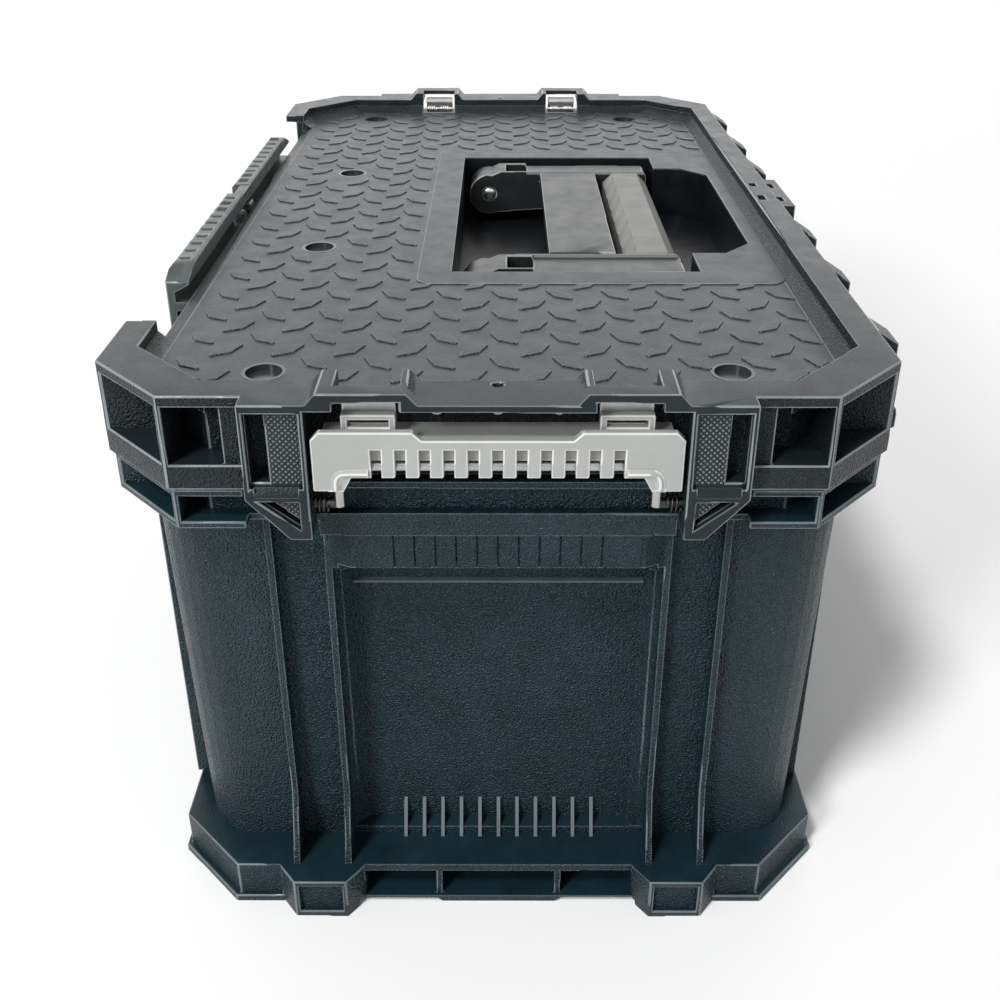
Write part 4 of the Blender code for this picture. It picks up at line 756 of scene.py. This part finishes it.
def base_looks():
    adds, cuts = ledge_shapes()
    foot_adds, foot_cuts = foot_shapes()
    adds += foot_adds
    cuts += foot_cuts + skirt_cuts() + panel_cuts()
    refine("base_tub", "black_plastic", WALL_ROUND, adds=adds, cuts=cuts, seam=on_ledge)
    ledge_tiles()
    fin_edges()
    for node in ("latch_pin", "hinge_pin_left", "hinge_pin_right"):
        refine(node, "bright_steel", FINE_ROUND)
    # The lips are painted pale as a highlight line.
    end_strips("panel_lips", LIP_PROFILE, [(-LIP_HALF, LIP_HALF)], "lip_plastic")


# Lid: tread and border of the handle's well

def middle_of(node):
    """The middle of a node's box, about the deck's middle, with its lowest and highest points."""
    low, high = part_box(node)
    return (low + high) / 2 - MIDDLE, low, high


DECK_SCREWS = [f"deck_screw_{number}" for number in range(1, 7)]
DIMPLES = [middle_of(node)[0].xy for node in DECK_SCREWS]
DIMPLE_CLEAR = 0.0125
TREAD_PITCH = 0.0268
TREAD_X, TREAD_Y = 0.0006, -0.0644
TREAD_COUNT_X, TREAD_COUNT_Y = 11, 7
TREAD_FRONT = 0.1365
LUG_LENGTH = 0.0083
LUG_WIDTH = 0.0039
LUG_BLUNT = 0.18
LUG_STEP, LUG_HEIGHT, LUG_DRAWN = 0.0004, 0.0007, 0.00035
LUG_LEAST = 0.5 * LUG_LENGTH * LUG_WIDTH
BORDER_X = 0.1335
BORDER_FRONT, BORDER_REAR = -0.0415, 0.1436
BORDER_CORNER = 0.008
BORDER_DEEP, BORDER_HIGH = 0.0004, 0.0007
BORDER_GAP = 0.0004
WELL_X, WELL_FRONT, WELL_REAR = 0.1161, -0.0241, 0.1031
POCKET_WIDE, POCKET_NARROW = 0.0871, 0.0706
POCKET_FRONT, POCKET_BEND, POCKET_REAR = 0.10, 0.121, 0.1361


def clip(polygon, a, b, c):
    """The part of a convex polygon where a x + b y is at most c."""
    kept = []
    for k, end in enumerate(polygon):
        start = polygon[k - 1]
        d0, d1 = a * start[0] + b * start[1] - c, a * end[0] + b * end[1] - c
        if (d0 > 0) != (d1 > 0):
            kept.append(between(start, end, d0 / (d0 - d1)))
        if d1 <= 0:
            kept.append(end)
    return kept


def area(polygon):
    return abs(sum(p[0] * q[1] - q[0] * p[1] for p, q in zip(polygon, polygon[1:] + polygon[:1]))) / 2


def drawn_in(polygon, distance):
    """A convex outline drawn in towards its middle by about a distance."""
    middle = Vector((sum(p[0] for p in polygon), sum(p[1] for p in polygon))) / len(polygon)
    return [tuple(Vector(p) + (middle - Vector(p)).normalized() * distance) for p in polygon]


def lug(x, y, lean):
    """Plan of one tread lug, cut short at the deck's edges and at the border of the handle's well."""
    along = Vector((-lean, 1.0)).normalized()
    across = Vector((along.y, -along.x))
    plan = []
    for a, b in ((1, LUG_BLUNT), (0, 1), (-1, LUG_BLUNT), (-1, -LUG_BLUNT), (0, -1), (1, -LUG_BLUNT)):
        point = Vector((x, y)) + along * (a * LUG_LENGTH) + across * (b * LUG_WIDTH)
        plan.append((point.x, point.y))
    for sx in SIDES:
        plan = clip(plan, sx, 0.0, DECK_X)
        for sy in SIDES:
            plan = clip(plan, sx, sy, DECK_X + DECK_Y - DECK_CHAMFER)
    plan = clip(plan, 0.0, 1.0, DECK_Y)
    plan = clip(plan, 0.0, -1.0, TREAD_FRONT)
    if abs(x) >= BORDER_X + LUG_LENGTH or y <= BORDER_FRONT - LUG_LENGTH:
        return plan
    if abs(x) > BORDER_X:
        return clip(plan, -math.copysign(1, x), 0.0, -BORDER_X - BORDER_GAP)
    return clip(plan, 0.0, 1.0, BORDER_FRONT - BORDER_GAP) if y < BORDER_FRONT else []


def deck_tread():
    """Two families of lugs that lean against each other, clear of the dimples."""
    bm = bmesh.new()
    for shift, lean in ((0.0, 1.0), (0.5, -1.0)):
        for i in range(-TREAD_COUNT_X, TREAD_COUNT_X + 1):
            for j in range(-TREAD_COUNT_Y, TREAD_COUNT_Y + 1):
                x, y = TREAD_X + (i + shift) * TREAD_PITCH, TREAD_Y + (j + shift) * TREAD_PITCH
                if any(math.hypot(x - a, y - b) < DIMPLE_CLEAR for a, b in DIMPLES):
                    continue
                plan = lug(x, y, lean)
                if len(plan) < 3 or area(plan) < LUG_LEAST:
                    continue
                add_stack(bm, "Z", (
                    (plan, DECK_TOP - SUNK), (plan, DECK_TOP + LUG_STEP),
                    (drawn_in(plan, LUG_DRAWN), DECK_TOP + LUG_HEIGHT)))
    dress(solid("deck_tread", bm), "lid", "deck_plastic")


def well_border():
    """A low plain border round the handle's well and its pocket."""
    plan = cornered(-BORDER_X, BORDER_X, BORDER_FRONT, BORDER_REAR, BORDER_CORNER, 6)
    border = prism(plan, "Z", DECK_TOP - BORDER_DEEP, DECK_TOP + BORDER_HIGH, "well_border")
    through = (DECK_TOP - REACH, DECK_TOP + REACH)
    well = box(-WELL_X, WELL_X, WELL_FRONT, WELL_REAR, *through)
    pocket = prism([
        (-POCKET_WIDE, POCKET_FRONT), (POCKET_WIDE, POCKET_FRONT), (POCKET_WIDE, POCKET_BEND),
        (POCKET_NARROW, POCKET_REAR), (-POCKET_NARROW, POCKET_REAR), (-POCKET_WIDE, POCKET_BEND),
    ], "Z", *through)
    combine(border, "DIFFERENCE", [well, pocket])
    round_edges(paint(border, "deck_plastic"), FINE_ROUND)
    dress(border, "lid", "deck_plastic")


# Lid: columns and rim

KNURL_FLOOR = 0.2860
KNURL_HIGH = 0.00055
KNURL_PITCH = 0.0017
KNURL_COUNT = 40
KNURL_Y, KNURL_Z = 0.0815, 0.2500
KNURL_LEAST = 0.3 * KNURL_PITCH ** 2
KNURL_DRAWN = 0.8
KNURL_FIELD = ((0.0757, 0.2468), (0.0877, 0.2468), (0.0877, 0.2778), (0.0757, 0.2778))
KNURL_TIP = ((0.0776, 0.2312), (0.0872, 0.2396), (0.0776, 0.2396))
COLUMN_CLEAR = 0.2900
SILL = ((0.2855, 0.2412), (0.2884, 0.2412), (0.2884, 0.2432), (0.2860, 0.2464), (0.2855, 0.2464))
SILL_Y = (0.0760, 0.0950)
RECESS_Y, RECESS_Z = (0.0752, 0.0958), (0.2458, 0.2782)
GROOVE_FLOOR = 0.2780
GROOVE_Y, GROOVE_Z = (0.0882, 0.0954), (0.2476, 0.2774)
TIP_GROOVE = ((0.0919, 0.2393), (0.0882, 0.2393), (0.0776, 0.2309), (0.0776, 0.2281))
STRIP = ((0.1510, 0.2700), (0.1482, 0.2700), (0.1482, 0.2758),
         (0.1495, 0.2769), (0.1497, 0.2773), (0.1510, 0.2773))
STRIP_RUNS = ((-1, -0.2360, -0.2048), (-1, 0.2048, 0.2360), (1, -0.2360, 0.2360))
CUT_NEAR, CUT_FAR = 0.1145, 0.1500
CUT_IN, CUT_OUT = 0.3812, 0.3848  # x + y at the inside and outside of a strip along a cut corner
CUT_Z = (0.2690, 0.2775)
SEAM = 0.0004
SEAM_LOW, SEAM_UNDER = 0.2700, 0.00003
SEAM_NEAR, SEAM_DEEP = 0.0018, 0.004
HOLE_X, HOLE_Z = (0.2665, 0.2690), (0.2635, 0.2663)
HOLES_Y = (-0.0305, -0.0180, -0.0065, 0.0065, 0.0180, 0.0305)
HOLE_HALF = 0.0014
TAB_Y = 0.0495
SLOT_X, SLOT_Z = (0.2592, 0.2682), (0.2728, 0.2770)
SLOT_HALF = 0.0125


def inside(polygon, field):
    """The part of a convex polygon within a convex field, whose points go round anticlockwise."""
    for k, end in enumerate(field):
        start = field[k - 1]
        a, b = end[1] - start[1], start[0] - end[0]
        polygon = clip(polygon, a, b, a * start[0] + b * start[1]) if polygon else polygon
    return polygon


def column_knurl():
    """Small pyramids in the recesses of the four columns."""
    half = KNURL_PITCH / math.sqrt(2)
    bm = bmesh.new()
    for field in (KNURL_FIELD, KNURL_TIP):
        for i in range(-KNURL_COUNT, KNURL_COUNT):
            for j in range(-KNURL_COUNT, KNURL_COUNT):
                y, z = KNURL_Y + (i + j) * half, KNURL_Z + (i - j) * half
                cell = inside([(y - half, z), (y, z - half), (y + half, z), (y, z + half)], field)
                if len(cell) < 3 or area(cell) < KNURL_LEAST:
                    continue
                for side, sy in QUARTERS:
                    plan = flipped(cell, sy)
                    foot, tip = side * (KNURL_FLOOR - SUNK), side * (KNURL_FLOOR + KNURL_HIGH)
                    add_stack(bm, "X", ((plan, foot), (drawn_in(plan, KNURL_DRAWN * half), tip)))
    dress(solid("column_knurl", bm), "lid", "deck_plastic", "rim_plastic")


def column_shapes():
    """Sills under the columns' recesses, then cuts: the recesses, the grooves beside and below the knurls."""
    adds, cuts = [], []
    for side, sy in QUARTERS:
        recess = mirrored(side, KNURL_FLOOR, COLUMN_CLEAR)
        groove = mirrored(side, GROOVE_FLOOR, COLUMN_CLEAR)
        adds.append(prism(flipped(SILL, side), "Y", *mirrored(sy, *SILL_Y)))
        cuts.append(box(*recess, *mirrored(sy, *RECESS_Y), *RECESS_Z))
        cuts.append(box(*groove, *mirrored(sy, *GROOVE_Y), *GROOVE_Z))
        cuts.append(prism(flipped(TIP_GROOVE, sy), "X", *groove))
    return adds, cuts


def rim_strips():
    """Closes the thin gap between the rim's plate and the wall under it: front, rear and cut corners."""
    strips = [prism(flipped(STRIP, sy), "X", start, end) for sy, start, end in STRIP_RUNS]
    corner = [(CUT_IN - CUT_NEAR, CUT_NEAR), (CUT_IN - CUT_FAR, CUT_FAR),
              (CUT_OUT - CUT_FAR, CUT_FAR), (CUT_OUT - CUT_NEAR, CUT_NEAR)]
    return strips + [prism(flipped(corner, side, sy), "Z", *CUT_Z) for side, sy in QUARTERS]


def rim_cuts():
    """Small holes beside the rim's screws, and slots under the lock tabs' noses."""
    cuts = []
    for side in SIDES:
        for y in HOLES_Y:
            cuts.append(box(*mirrored(side, *HOLE_X), y - HOLE_HALF, y + HOLE_HALF, *HOLE_Z))
        for y in (-TAB_Y, TAB_Y):
            cuts.append(box(*mirrored(side, *SLOT_X), y - SLOT_HALF, y + SLOT_HALF, *SLOT_Z))
    return cuts


def deck_plan(wider):
    """The deck's outline, widened by a distance."""
    x, y = DECK_X + wider, DECK_Y + wider
    return cornered(-x, x, -y, y, DECK_CHAMFER)


def deck_seam():
    """Fills the joint between the deck and the lid's frame."""
    outer = prism(deck_plan(SEAM), "Z", SEAM_LOW, DECK_TOP - SEAM_UNDER)
    inner = prism(deck_plan(-SEAM), "Z", SEAM_LOW - REACH, DECK_TOP + REACH)
    return combine(outer, "DIFFERENCE", [inner])


def on_seam(point):
    """Whether a point lies on the joint between the deck and the lid's frame."""
    x, y = abs(point.x), abs(point.y - MIDDLE_Y)
    out = max(x - DECK_X, y - DECK_Y, (x + y - DECK_X - DECK_Y + DECK_CHAMFER) / math.sqrt(2))
    return abs(out) < SEAM_NEAR and abs(point.z - DECK_TOP) < SEAM_DEEP


# Lid: pins, cups, screws and slot rollers

PIN_DOME = 0.0016
CUP_RADIUS = 0.0081
CUP_BRIM = 0.0092
CUP_PROUD = 0.00012
CUP_WALL = 0.0004
CUP_DEEP = 0.0027
CUP_FLOOR = 0.0014
CUP_SIDES = 40
# Head radius and height, shank radius and sides, overlap, slot length, width and depth, edge rounding
DECK_SCREW = (0.0048, 0.003, 0.002, 16, 0.0005, 0.0026, 0.0006, 0.0016, 0.0002)
RIM_SCREW = (0.0028, 0.0018, 0.0012, 12, 0.0004, 0.0015, 0.0004, 0.0009, 0.00012)
SCREW_SHARP = 40.0
ROLLER_X, ROLLER_Z = 0.2635, 0.2752
ROLLER_HALF, ROLLER_RADIUS = 0.0122, 0.0009
COIL_RADIUS, COIL_WIRE = 0.0015, 0.0006
COIL_OFFSET, COIL_RUN = 0.0052, 0.0064


def pin_looks():
    """The handle's pivot pins, with domed ends that show inside the arms."""
    for name, side in reversed(ENDS):
        node = f"handle_pin_{name}"
        middle, low, high = middle_of(node)
        radius = (high.z - low.z) / 2
        inner, outer = (low.x, high.x)[::side]
        seat = inner + side * PIN_DOME
        rim = circle((middle.y, middle.z), radius, 28)
        bm = bmesh.new()
        turned_dome(bm, (seat, middle.y, middle.z), (-side, 0, 0), radius, PIN_DOME, 7)
        add_stack(bm, "X", [(rim, x) for x in sorted((seat, outer))])
        dress(smooth(solid(node + "_look", bm)), "lid", "bright_steel", stands_for=(node,))


def cup_looks():
    """Shallow smooth cups that close the deck's dimples over the screws."""
    bm = bmesh.new()
    for centre in DIMPLES:
        outer, inner, brim = (
            circle(centre, radius, CUP_SIDES) for radius in (CUP_RADIUS, CUP_RADIUS - CUP_WALL, CUP_BRIM))
        add_stack(bm, "Z", (
            (outer, DECK_TOP - CUP_DEEP - CUP_FLOOR), (outer, DECK_TOP - CUP_WALL),
            (brim, DECK_TOP - CUP_WALL), (brim, DECK_TOP + CUP_PROUD),
            (inner, DECK_TOP + CUP_PROUD), (inner, DECK_TOP - CUP_DEEP)))
    dress(smooth(solid("dimple_cups", bm)), "lid", "deck_plastic", "cup_plastic")


def screw_look(node, axis, side, slot, sizes):
    """A domed screw with a cross slot, whose head faces a side along an axis."""
    radius, height, shank_radius, shank_sides, overlap, long, thin, deep, width = sizes
    middle, low, high = middle_of(node)
    along = "XYZ".index(axis)
    a, b = (middle[k] for k in range(3) if k != along)
    inner, outer = (low[along], high[along])[::side]
    seat = outer - side * height
    bm = bmesh.new()
    turned_dome(bm, lift((a, b), axis, seat), lift((0, 0), axis, side), radius, height)
    piece = solid(node + "_look", bm)
    shank = circle((a, b), shank_radius, shank_sides)
    combine(piece, "UNION", [prism(shank, axis, *sorted((inner, seat + side * overlap)))])
    reach = sorted((outer - side * deep, outer + side * REACH))
    combine(piece, "DIFFERENCE", [
        prism(rectangle(a - u, a + u, b - v, b + v), axis, *reach) for u, v in ((long, thin), (thin, long))])
    round_edges(piece, width, angle=SCREW_SHARP)
    dress(piece, "lid", slot, stands_for=(node,))


def screw_looks():
    for node in DECK_SCREWS:
        screw_look(node, "Z", 1, "dark_steel", DECK_SCREW)
    for name, side in ENDS:
        for number in (1, 2, 3):
            screw_look(f"rim_screw_{name}_{number}", "X", side, "bright_steel", RIM_SCREW)


def roller_looks():
    """Cross pins with two short coils in the rim's slots, under the lock tabs' noses."""
    for name, side in ENDS:
        for corner, sy in CORNERS:
            x, y = side * ROLLER_X, sy * TAB_Y + MIDDLE_Y
            ends = [(x, y - ROLLER_HALF, ROLLER_Z), (x, y + ROLLER_HALF, ROLLER_Z)]
            dress(tube(f"slot_pin_{name}_{corner}", ends, ROLLER_RADIUS), "lid", "bright_steel")
            for half, offset in (("a", -COIL_OFFSET), ("b", COIL_OFFSET)):
                points = coil(x, ROLLER_Z, y + offset - COIL_RUN / 2, COIL_RUN, COIL_RADIUS, 4, 14)
                piece = tube(f"slot_coil_{name}_{corner}_{half}", points, COIL_WIRE, 2)
                dress(piece, "lid", "bright_steel")


def lid_looks():
    adds, cuts = column_shapes()
    adds += rim_strips()
    refine("lid_shell", "deck_plastic", WALL_ROUND, "rim_plastic", rim_cuts() + cuts, adds, seam=on_seam)
    refine("lid_deck", "deck_plastic", WALL_ROUND, adds=[deck_seam()], seam=on_seam)
    refine("handle_well", "deck_plastic", THIN_ROUND, "well_plastic")
    for name in ("left", "right", "front"):
        refine(f"lid_inner_panel_{name}", "black_plastic", THIN_ROUND)
    refine("lid_seal", "seal_rubber", SEAL_ROUND, segments=3)
    refine("padlock_eye", "black_plastic", EYE_ROUND, segments=3)
    pin_looks()
    deck_tread()
    well_border()
    column_knurl()
    cup_looks()
    screw_looks()
    roller_looks()


# Handle

HANDLE_CLEAR = 0.2800
NOTCH_X, NOTCH_Y, NOTCH_FLOOR = (0.0865, 0.1050), (0.0044, 0.0180), 0.2570
ARM_X, ARM_Y, ARM_TOP = (0.0845, 0.1080), (0.0180, 0.1000), 0.2692
PLATE_CORNER = ((0.0806, 0.2715), (0.0842, 0.2715), (0.0842, 0.2679))
PLATE_Y = (0.0265, 0.0635)
GRIP_ROWS = 140
GRIP_CUT = 0.0062
GRIP_INSET = 0.0001
GRIP_TAPER, GRIP_TAPER_RATE = 0.0028, 0.9 / 0.0135
GRIP_SMOOTH = 35.0
WAVE_HEIGHT, WAVE_LENGTH, WAVE_SLANT, WAVE_FULL = 0.0011, 0.0235, 1.3, 1.6
BORE_X, BORE_Y, BORE_Z = (-0.1, 0.1), (0.0750, 0.0905), (0.2525, 0.2660)


def frame_looks():
    """The handle's frame, with a notch and a lowered top on each arm and cut corners on its plate."""
    cuts = []
    for side in SIDES:
        cuts.append(box(*mirrored(side, *NOTCH_X), *NOTCH_Y, NOTCH_FLOOR, HANDLE_CLEAR))
        cuts.append(box(*mirrored(side, *ARM_X), *ARM_Y, ARM_TOP, HANDLE_CLEAR))
        cuts.append(prism(flipped(PLATE_CORNER, side), "Y", *PLATE_Y))
    refine("handle_frame", "black_plastic", HANDLE_ROUND, "handle_plastic", cuts=cuts)


def grip_looks():
    """The grip: cut corners, tapered ends, and slanted finger waves along its upper front edge."""
    middle, low, high = middle_of("handle_grip")
    half = high.x - GRIP_INSET
    y0, y1 = low.y - MIDDLE_Y, high.y - MIDDLE_Y
    edge_y, edge_z = y0 + GRIP_CUT / 2, high.z - GRIP_CUT / 2
    outline = cornered(y0, y1, low.z, high.z, GRIP_CUT, 5, cut=True)
    bm = bmesh.new()
    loops = []
    for k in range(GRIP_ROWS + 1):
        x = half * (2 * k / GRIP_ROWS - 1)
        reach = 1 - GRIP_TAPER_RATE * max(0.0, abs(x) - (half - GRIP_TAPER))
        loop = []
        for y, z in outline:
            share = max(0.0, 1 - math.hypot(y - edge_y, z - edge_z) / GRIP_CUT)
            phase = math.sin(turn(x + WAVE_SLANT * (z - low.z), WAVE_LENGTH))
            wave = WAVE_HEIGHT * min(1.0, WAVE_FULL * share) * max(phase, 0.0)
            loop.append(bm.verts.new((
                x, middle.y + (y - middle.y) * reach + wave, middle.z + (z - middle.z) * reach - wave)))
        loops.append(loop)
    join_loops(bm, loops)
    grip = solid("handle_grip_look", bm)
    combine(grip, "DIFFERENCE", [box(*BORE_X, *BORE_Y, *BORE_Z)])
    dress(smooth(grip, GRIP_SMOOTH), "lid_handle", "grip_rubber", stands_for=("handle_grip",))


# Latch

LATCH_RIBS = 10
LATCH_FIRST = 0.0185
LATCH_PITCH = 0.0118
LATCH_GROOVE = 0.0031
LATCH_FLOOR = 0.0018
LATCH_DEEP = 0.0015
LATCH_OVER, LATCH_DOWN = 0.0085, 0.0165  # how far the grooves run over the top and down the face
BRIDGE_HALF, BRIDGE_Y, BRIDGE_Z = 0.0102, (0.0055, 0.0113), (0.0066, 0.0004)


def groove_outline(x, level, floor):
    """A groove with slanted sides, from a surface down or in to its floor."""
    return [(x - LATCH_GROOVE, level), (x + LATCH_GROOVE, level),
            (x + LATCH_FLOOR, floor), (x - LATCH_FLOOR, floor)]


def latch_looks():
    """The latch with grooves across its top and outer face, and a bridge behind its middle notch."""
    low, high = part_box("front_latch")
    top, face = high.z, low.y - MIDDLE_Y
    cuts = []
    for side in SIDES:
        for k in range(LATCH_RIBS):
            x = side * (LATCH_FIRST + LATCH_PITCH * k)
            cuts.append(prism(groove_outline(x, top, top - LATCH_DEEP), "Y", face - REACH, face + LATCH_OVER))
            cuts.append(prism(groove_outline(x, face, face + LATCH_DEEP), "Z", top - LATCH_DOWN, top + REACH))
    y, z = (face + depth for depth in BRIDGE_Y), (top - depth for depth in BRIDGE_Z)
    bridge = box(-BRIDGE_HALF, BRIDGE_HALF, *y, *z)
    refine("front_latch", "black_plastic", WALL_ROUND, "latch_plastic", cuts=cuts, adds=[bridge])


# Levers

ROD_X, ROD_LOW, ROD_HIGH = 0.28, 0.235, 0.252
ROD_LEG, ROD_STUB = 0.0627, 0.082
ROD_RADIUS, STUB_RADIUS = 0.0024, 0.0022
ROD_BEND, ROD_TIP = 0.0045, 0.0010
NOSE = ((0.2550, 0.2770), (0.2685, 0.2770), (0.2685, 0.2796),
        (0.2735, 0.2816), (0.2735, 0.2850), (0.2550, 0.2850))
NOSE_Y = (0.0360, 0.0640)
TAB_SLOT_X, TAB_SLOT_HALF, TAB_SLOT_Z = (0.2740, 0.2790), 0.0076, (0.2684, 0.2700)
SPRING_WIRE, SPRING_RADIUS = 0.00055, 0.0034


def rod_look(name, side):
    """The bright part of a lever's rod: across the lever and straight down at both ends."""
    x, tip = side * ROD_X, ROD_LOW - ROD_TIP
    corners = [(x, -ROD_LEG, tip), (x, -ROD_LEG, ROD_HIGH), (x, ROD_LEG, ROD_HIGH), (x, ROD_LEG, tip)]
    points = [p + MIDDLE for p in bent(corners, ROD_BEND)]
    rod = tube(f"lever_rod_{name}_look", points, ROD_RADIUS, 6)
    # The rod's darker steel is painted shade.
    dress(rod, f"lever_{name}", "bright_steel", "rod_steel", stands_for=(f"lever_rod_{name}",))


def stub_look(name, side, corner, sy):
    """A dark stub that the lever turns on."""
    ends = [(side * ROD_X, sy * y + MIDDLE_Y, ROD_LOW) for y in (ROD_LEG, ROD_STUB)]
    stub = tube(f"lever_stub_{name}_{corner}", ends, STUB_RADIUS, 6)
    dress(stub, f"lever_{name}", "bright_steel", "dark_steel")


def tab_look(name, side, corner, sy):
    """A lock tab with a sloped nose and a slot in its face."""
    slope = prism(flipped(NOSE, side), "Y", *mirrored(sy, *NOSE_Y))
    y = sy * TAB_Y
    slot = box(*mirrored(side, *TAB_SLOT_X), y - TAB_SLOT_HALF, y + TAB_SLOT_HALF, *TAB_SLOT_Z)
    node = f"lock_tab_{name}_{corner}"
    refine(node, "bright_steel", THIN_ROUND, "tab_steel", cuts=[slope, slot], segments=3)


def spring_look(name, side, corner):
    """A return spring wound on a stub."""
    node = f"lever_spring_{name}_{corner}"
    low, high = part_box(node)
    start, run = low.y + SPRING_WIRE, high.y - low.y - 2 * SPRING_WIRE
    points = coil(side * ROD_X, ROD_LOW, start, run, SPRING_RADIUS, 3, 20, side)
    dress(tube(node + "_look", points, SPRING_WIRE, 3), "lid", "dark_steel", stands_for=(node,))


def lever_looks():
    for name, side in ENDS:
        refine(f"end_lever_{name}", "grey_plastic", THIN_ROUND, segments=3)
        rod_look(name, side)
        for corner, sy in CORNERS:
            stub_look(name, side, corner, sy)
            tab_look(name, side, corner, sy)
            spring_look(name, side, corner)


# Stage

FLOOR_HALF = 15.0
FLOOR_WHITE = 0.97
FLOOR_ROUGH = 0.9
FILL = 0.38
AIM = (0.0, 0.0, 0.2)
KEY_STRENGTH = 1.42
KEY_ANGLE = 9.0
KEY_FROM = (0.42, -0.34, 0.84)
KEY_AWAY = 3
AREA_LAMPS = (
    # name, place, size, power
    ("back", (-3.2, 0.0, 2.1), (5.0, 2.8), 36.0),
    ("glint", (2.1, -1.5, 1.7), (0.7, 0.7), 44.0),
)
CAMERA_PLACE = (0.6655, 0.0015 + MIDDLE_Y, 0.4707)
CAMERA_PITCH, CAMERA_YAW = 26.28, 0.1
CAMERA_SENSOR, CAMERA_LENS, CAMERA_SHIFT = 36.0, 40.9, -0.1
CAMERA_CLIP = (0.01, 50.0)


def pale_floor():
    bm = bmesh.new()
    plan = rectangle(-FLOOR_HALF, FLOOR_HALF, -FLOOR_HALF, FLOOR_HALF)
    bm.faces.new([bm.verts.new((x, y, 0.0)) for x, y in plan])
    floor = solid("floor", bm, shift=False)
    made, _, shader = nodes_of("floor_finish")
    shader.inputs["Base Color"].default_value = (FLOOR_WHITE, FLOOR_WHITE, FLOOR_WHITE, 1.0)
    shader.inputs["Roughness"].default_value = FLOOR_ROUGH
    shader.inputs["Specular IOR Level"].default_value = 0.0
    floor.data.materials.append(made)


def white_world():
    """White to the eye and in reflections, and a softer fill on everything else."""
    world = bpy.data.worlds.new("studio")
    world.use_nodes = True
    bpy.context.scene.world = world
    tree = world.node_tree
    background = tree.nodes["Background"]
    background.inputs["Color"].default_value = (1.0, 1.0, 1.0, 1.0)
    path = put(tree, "ShaderNodeLightPath")
    seen = path.outputs["Is Camera Ray"]
    for ray in ("Is Glossy Ray", "Is Transmission Ray"):
        seen = maths(tree, "MAXIMUM", seen, path.outputs[ray])
    tree.links.new(span(tree, seen, FILL, 1.0, 0.0, 1.0), background.inputs["Strength"])


def lamp(name, kind, place):
    """A lamp that the camera doesn't see, turned to the box."""
    data = bpy.data.lights.new(name, kind)
    made = link(name, data)
    made.location = place
    made.rotation_mode = "QUATERNION"
    made.rotation_quaternion = (Vector(AIM) - Vector(place)).to_track_quat("-Z", "Y")
    made.visible_camera = False
    return data


def studio_lamps():
    key = lamp("key", "SUN", Vector(AIM) + KEY_AWAY * Vector(KEY_FROM))
    key.energy = KEY_STRENGTH
    key.angle = math.radians(KEY_ANGLE)
    for name, place, size, power in AREA_LAMPS:
        made = lamp(name, "AREA", place)
        made.shape = "RECTANGLE"
        made.size, made.size_y = size
        made.energy = power


def camera_view():
    """The photo's view: slightly from above, square to the right end."""
    data = bpy.data.cameras.new("camera")
    data.sensor_width = CAMERA_SENSOR
    data.lens = CAMERA_LENS
    data.shift_y = CAMERA_SHIFT
    data.clip_start, data.clip_end = CAMERA_CLIP
    camera = link("camera", data)
    pitch, yaw = math.radians(CAMERA_PITCH), math.radians(CAMERA_YAW)
    back = Vector((math.cos(pitch) * math.cos(yaw), math.cos(pitch) * math.sin(yaw), math.sin(pitch)))
    camera.location = CAMERA_PLACE
    camera.rotation_mode = "QUATERNION"
    camera.rotation_quaternion = back.to_track_quat("Z", "Y")
    bpy.context.scene.camera = camera


def stage():
    bpy.context.scene.view_settings.view_transform = "Standard"
    pale_floor()
    white_world()
    studio_lamps()
    camera_view()


base_looks()
lid_looks()
frame_looks()
grip_looks()
latch_looks()
lever_looks()
stage()
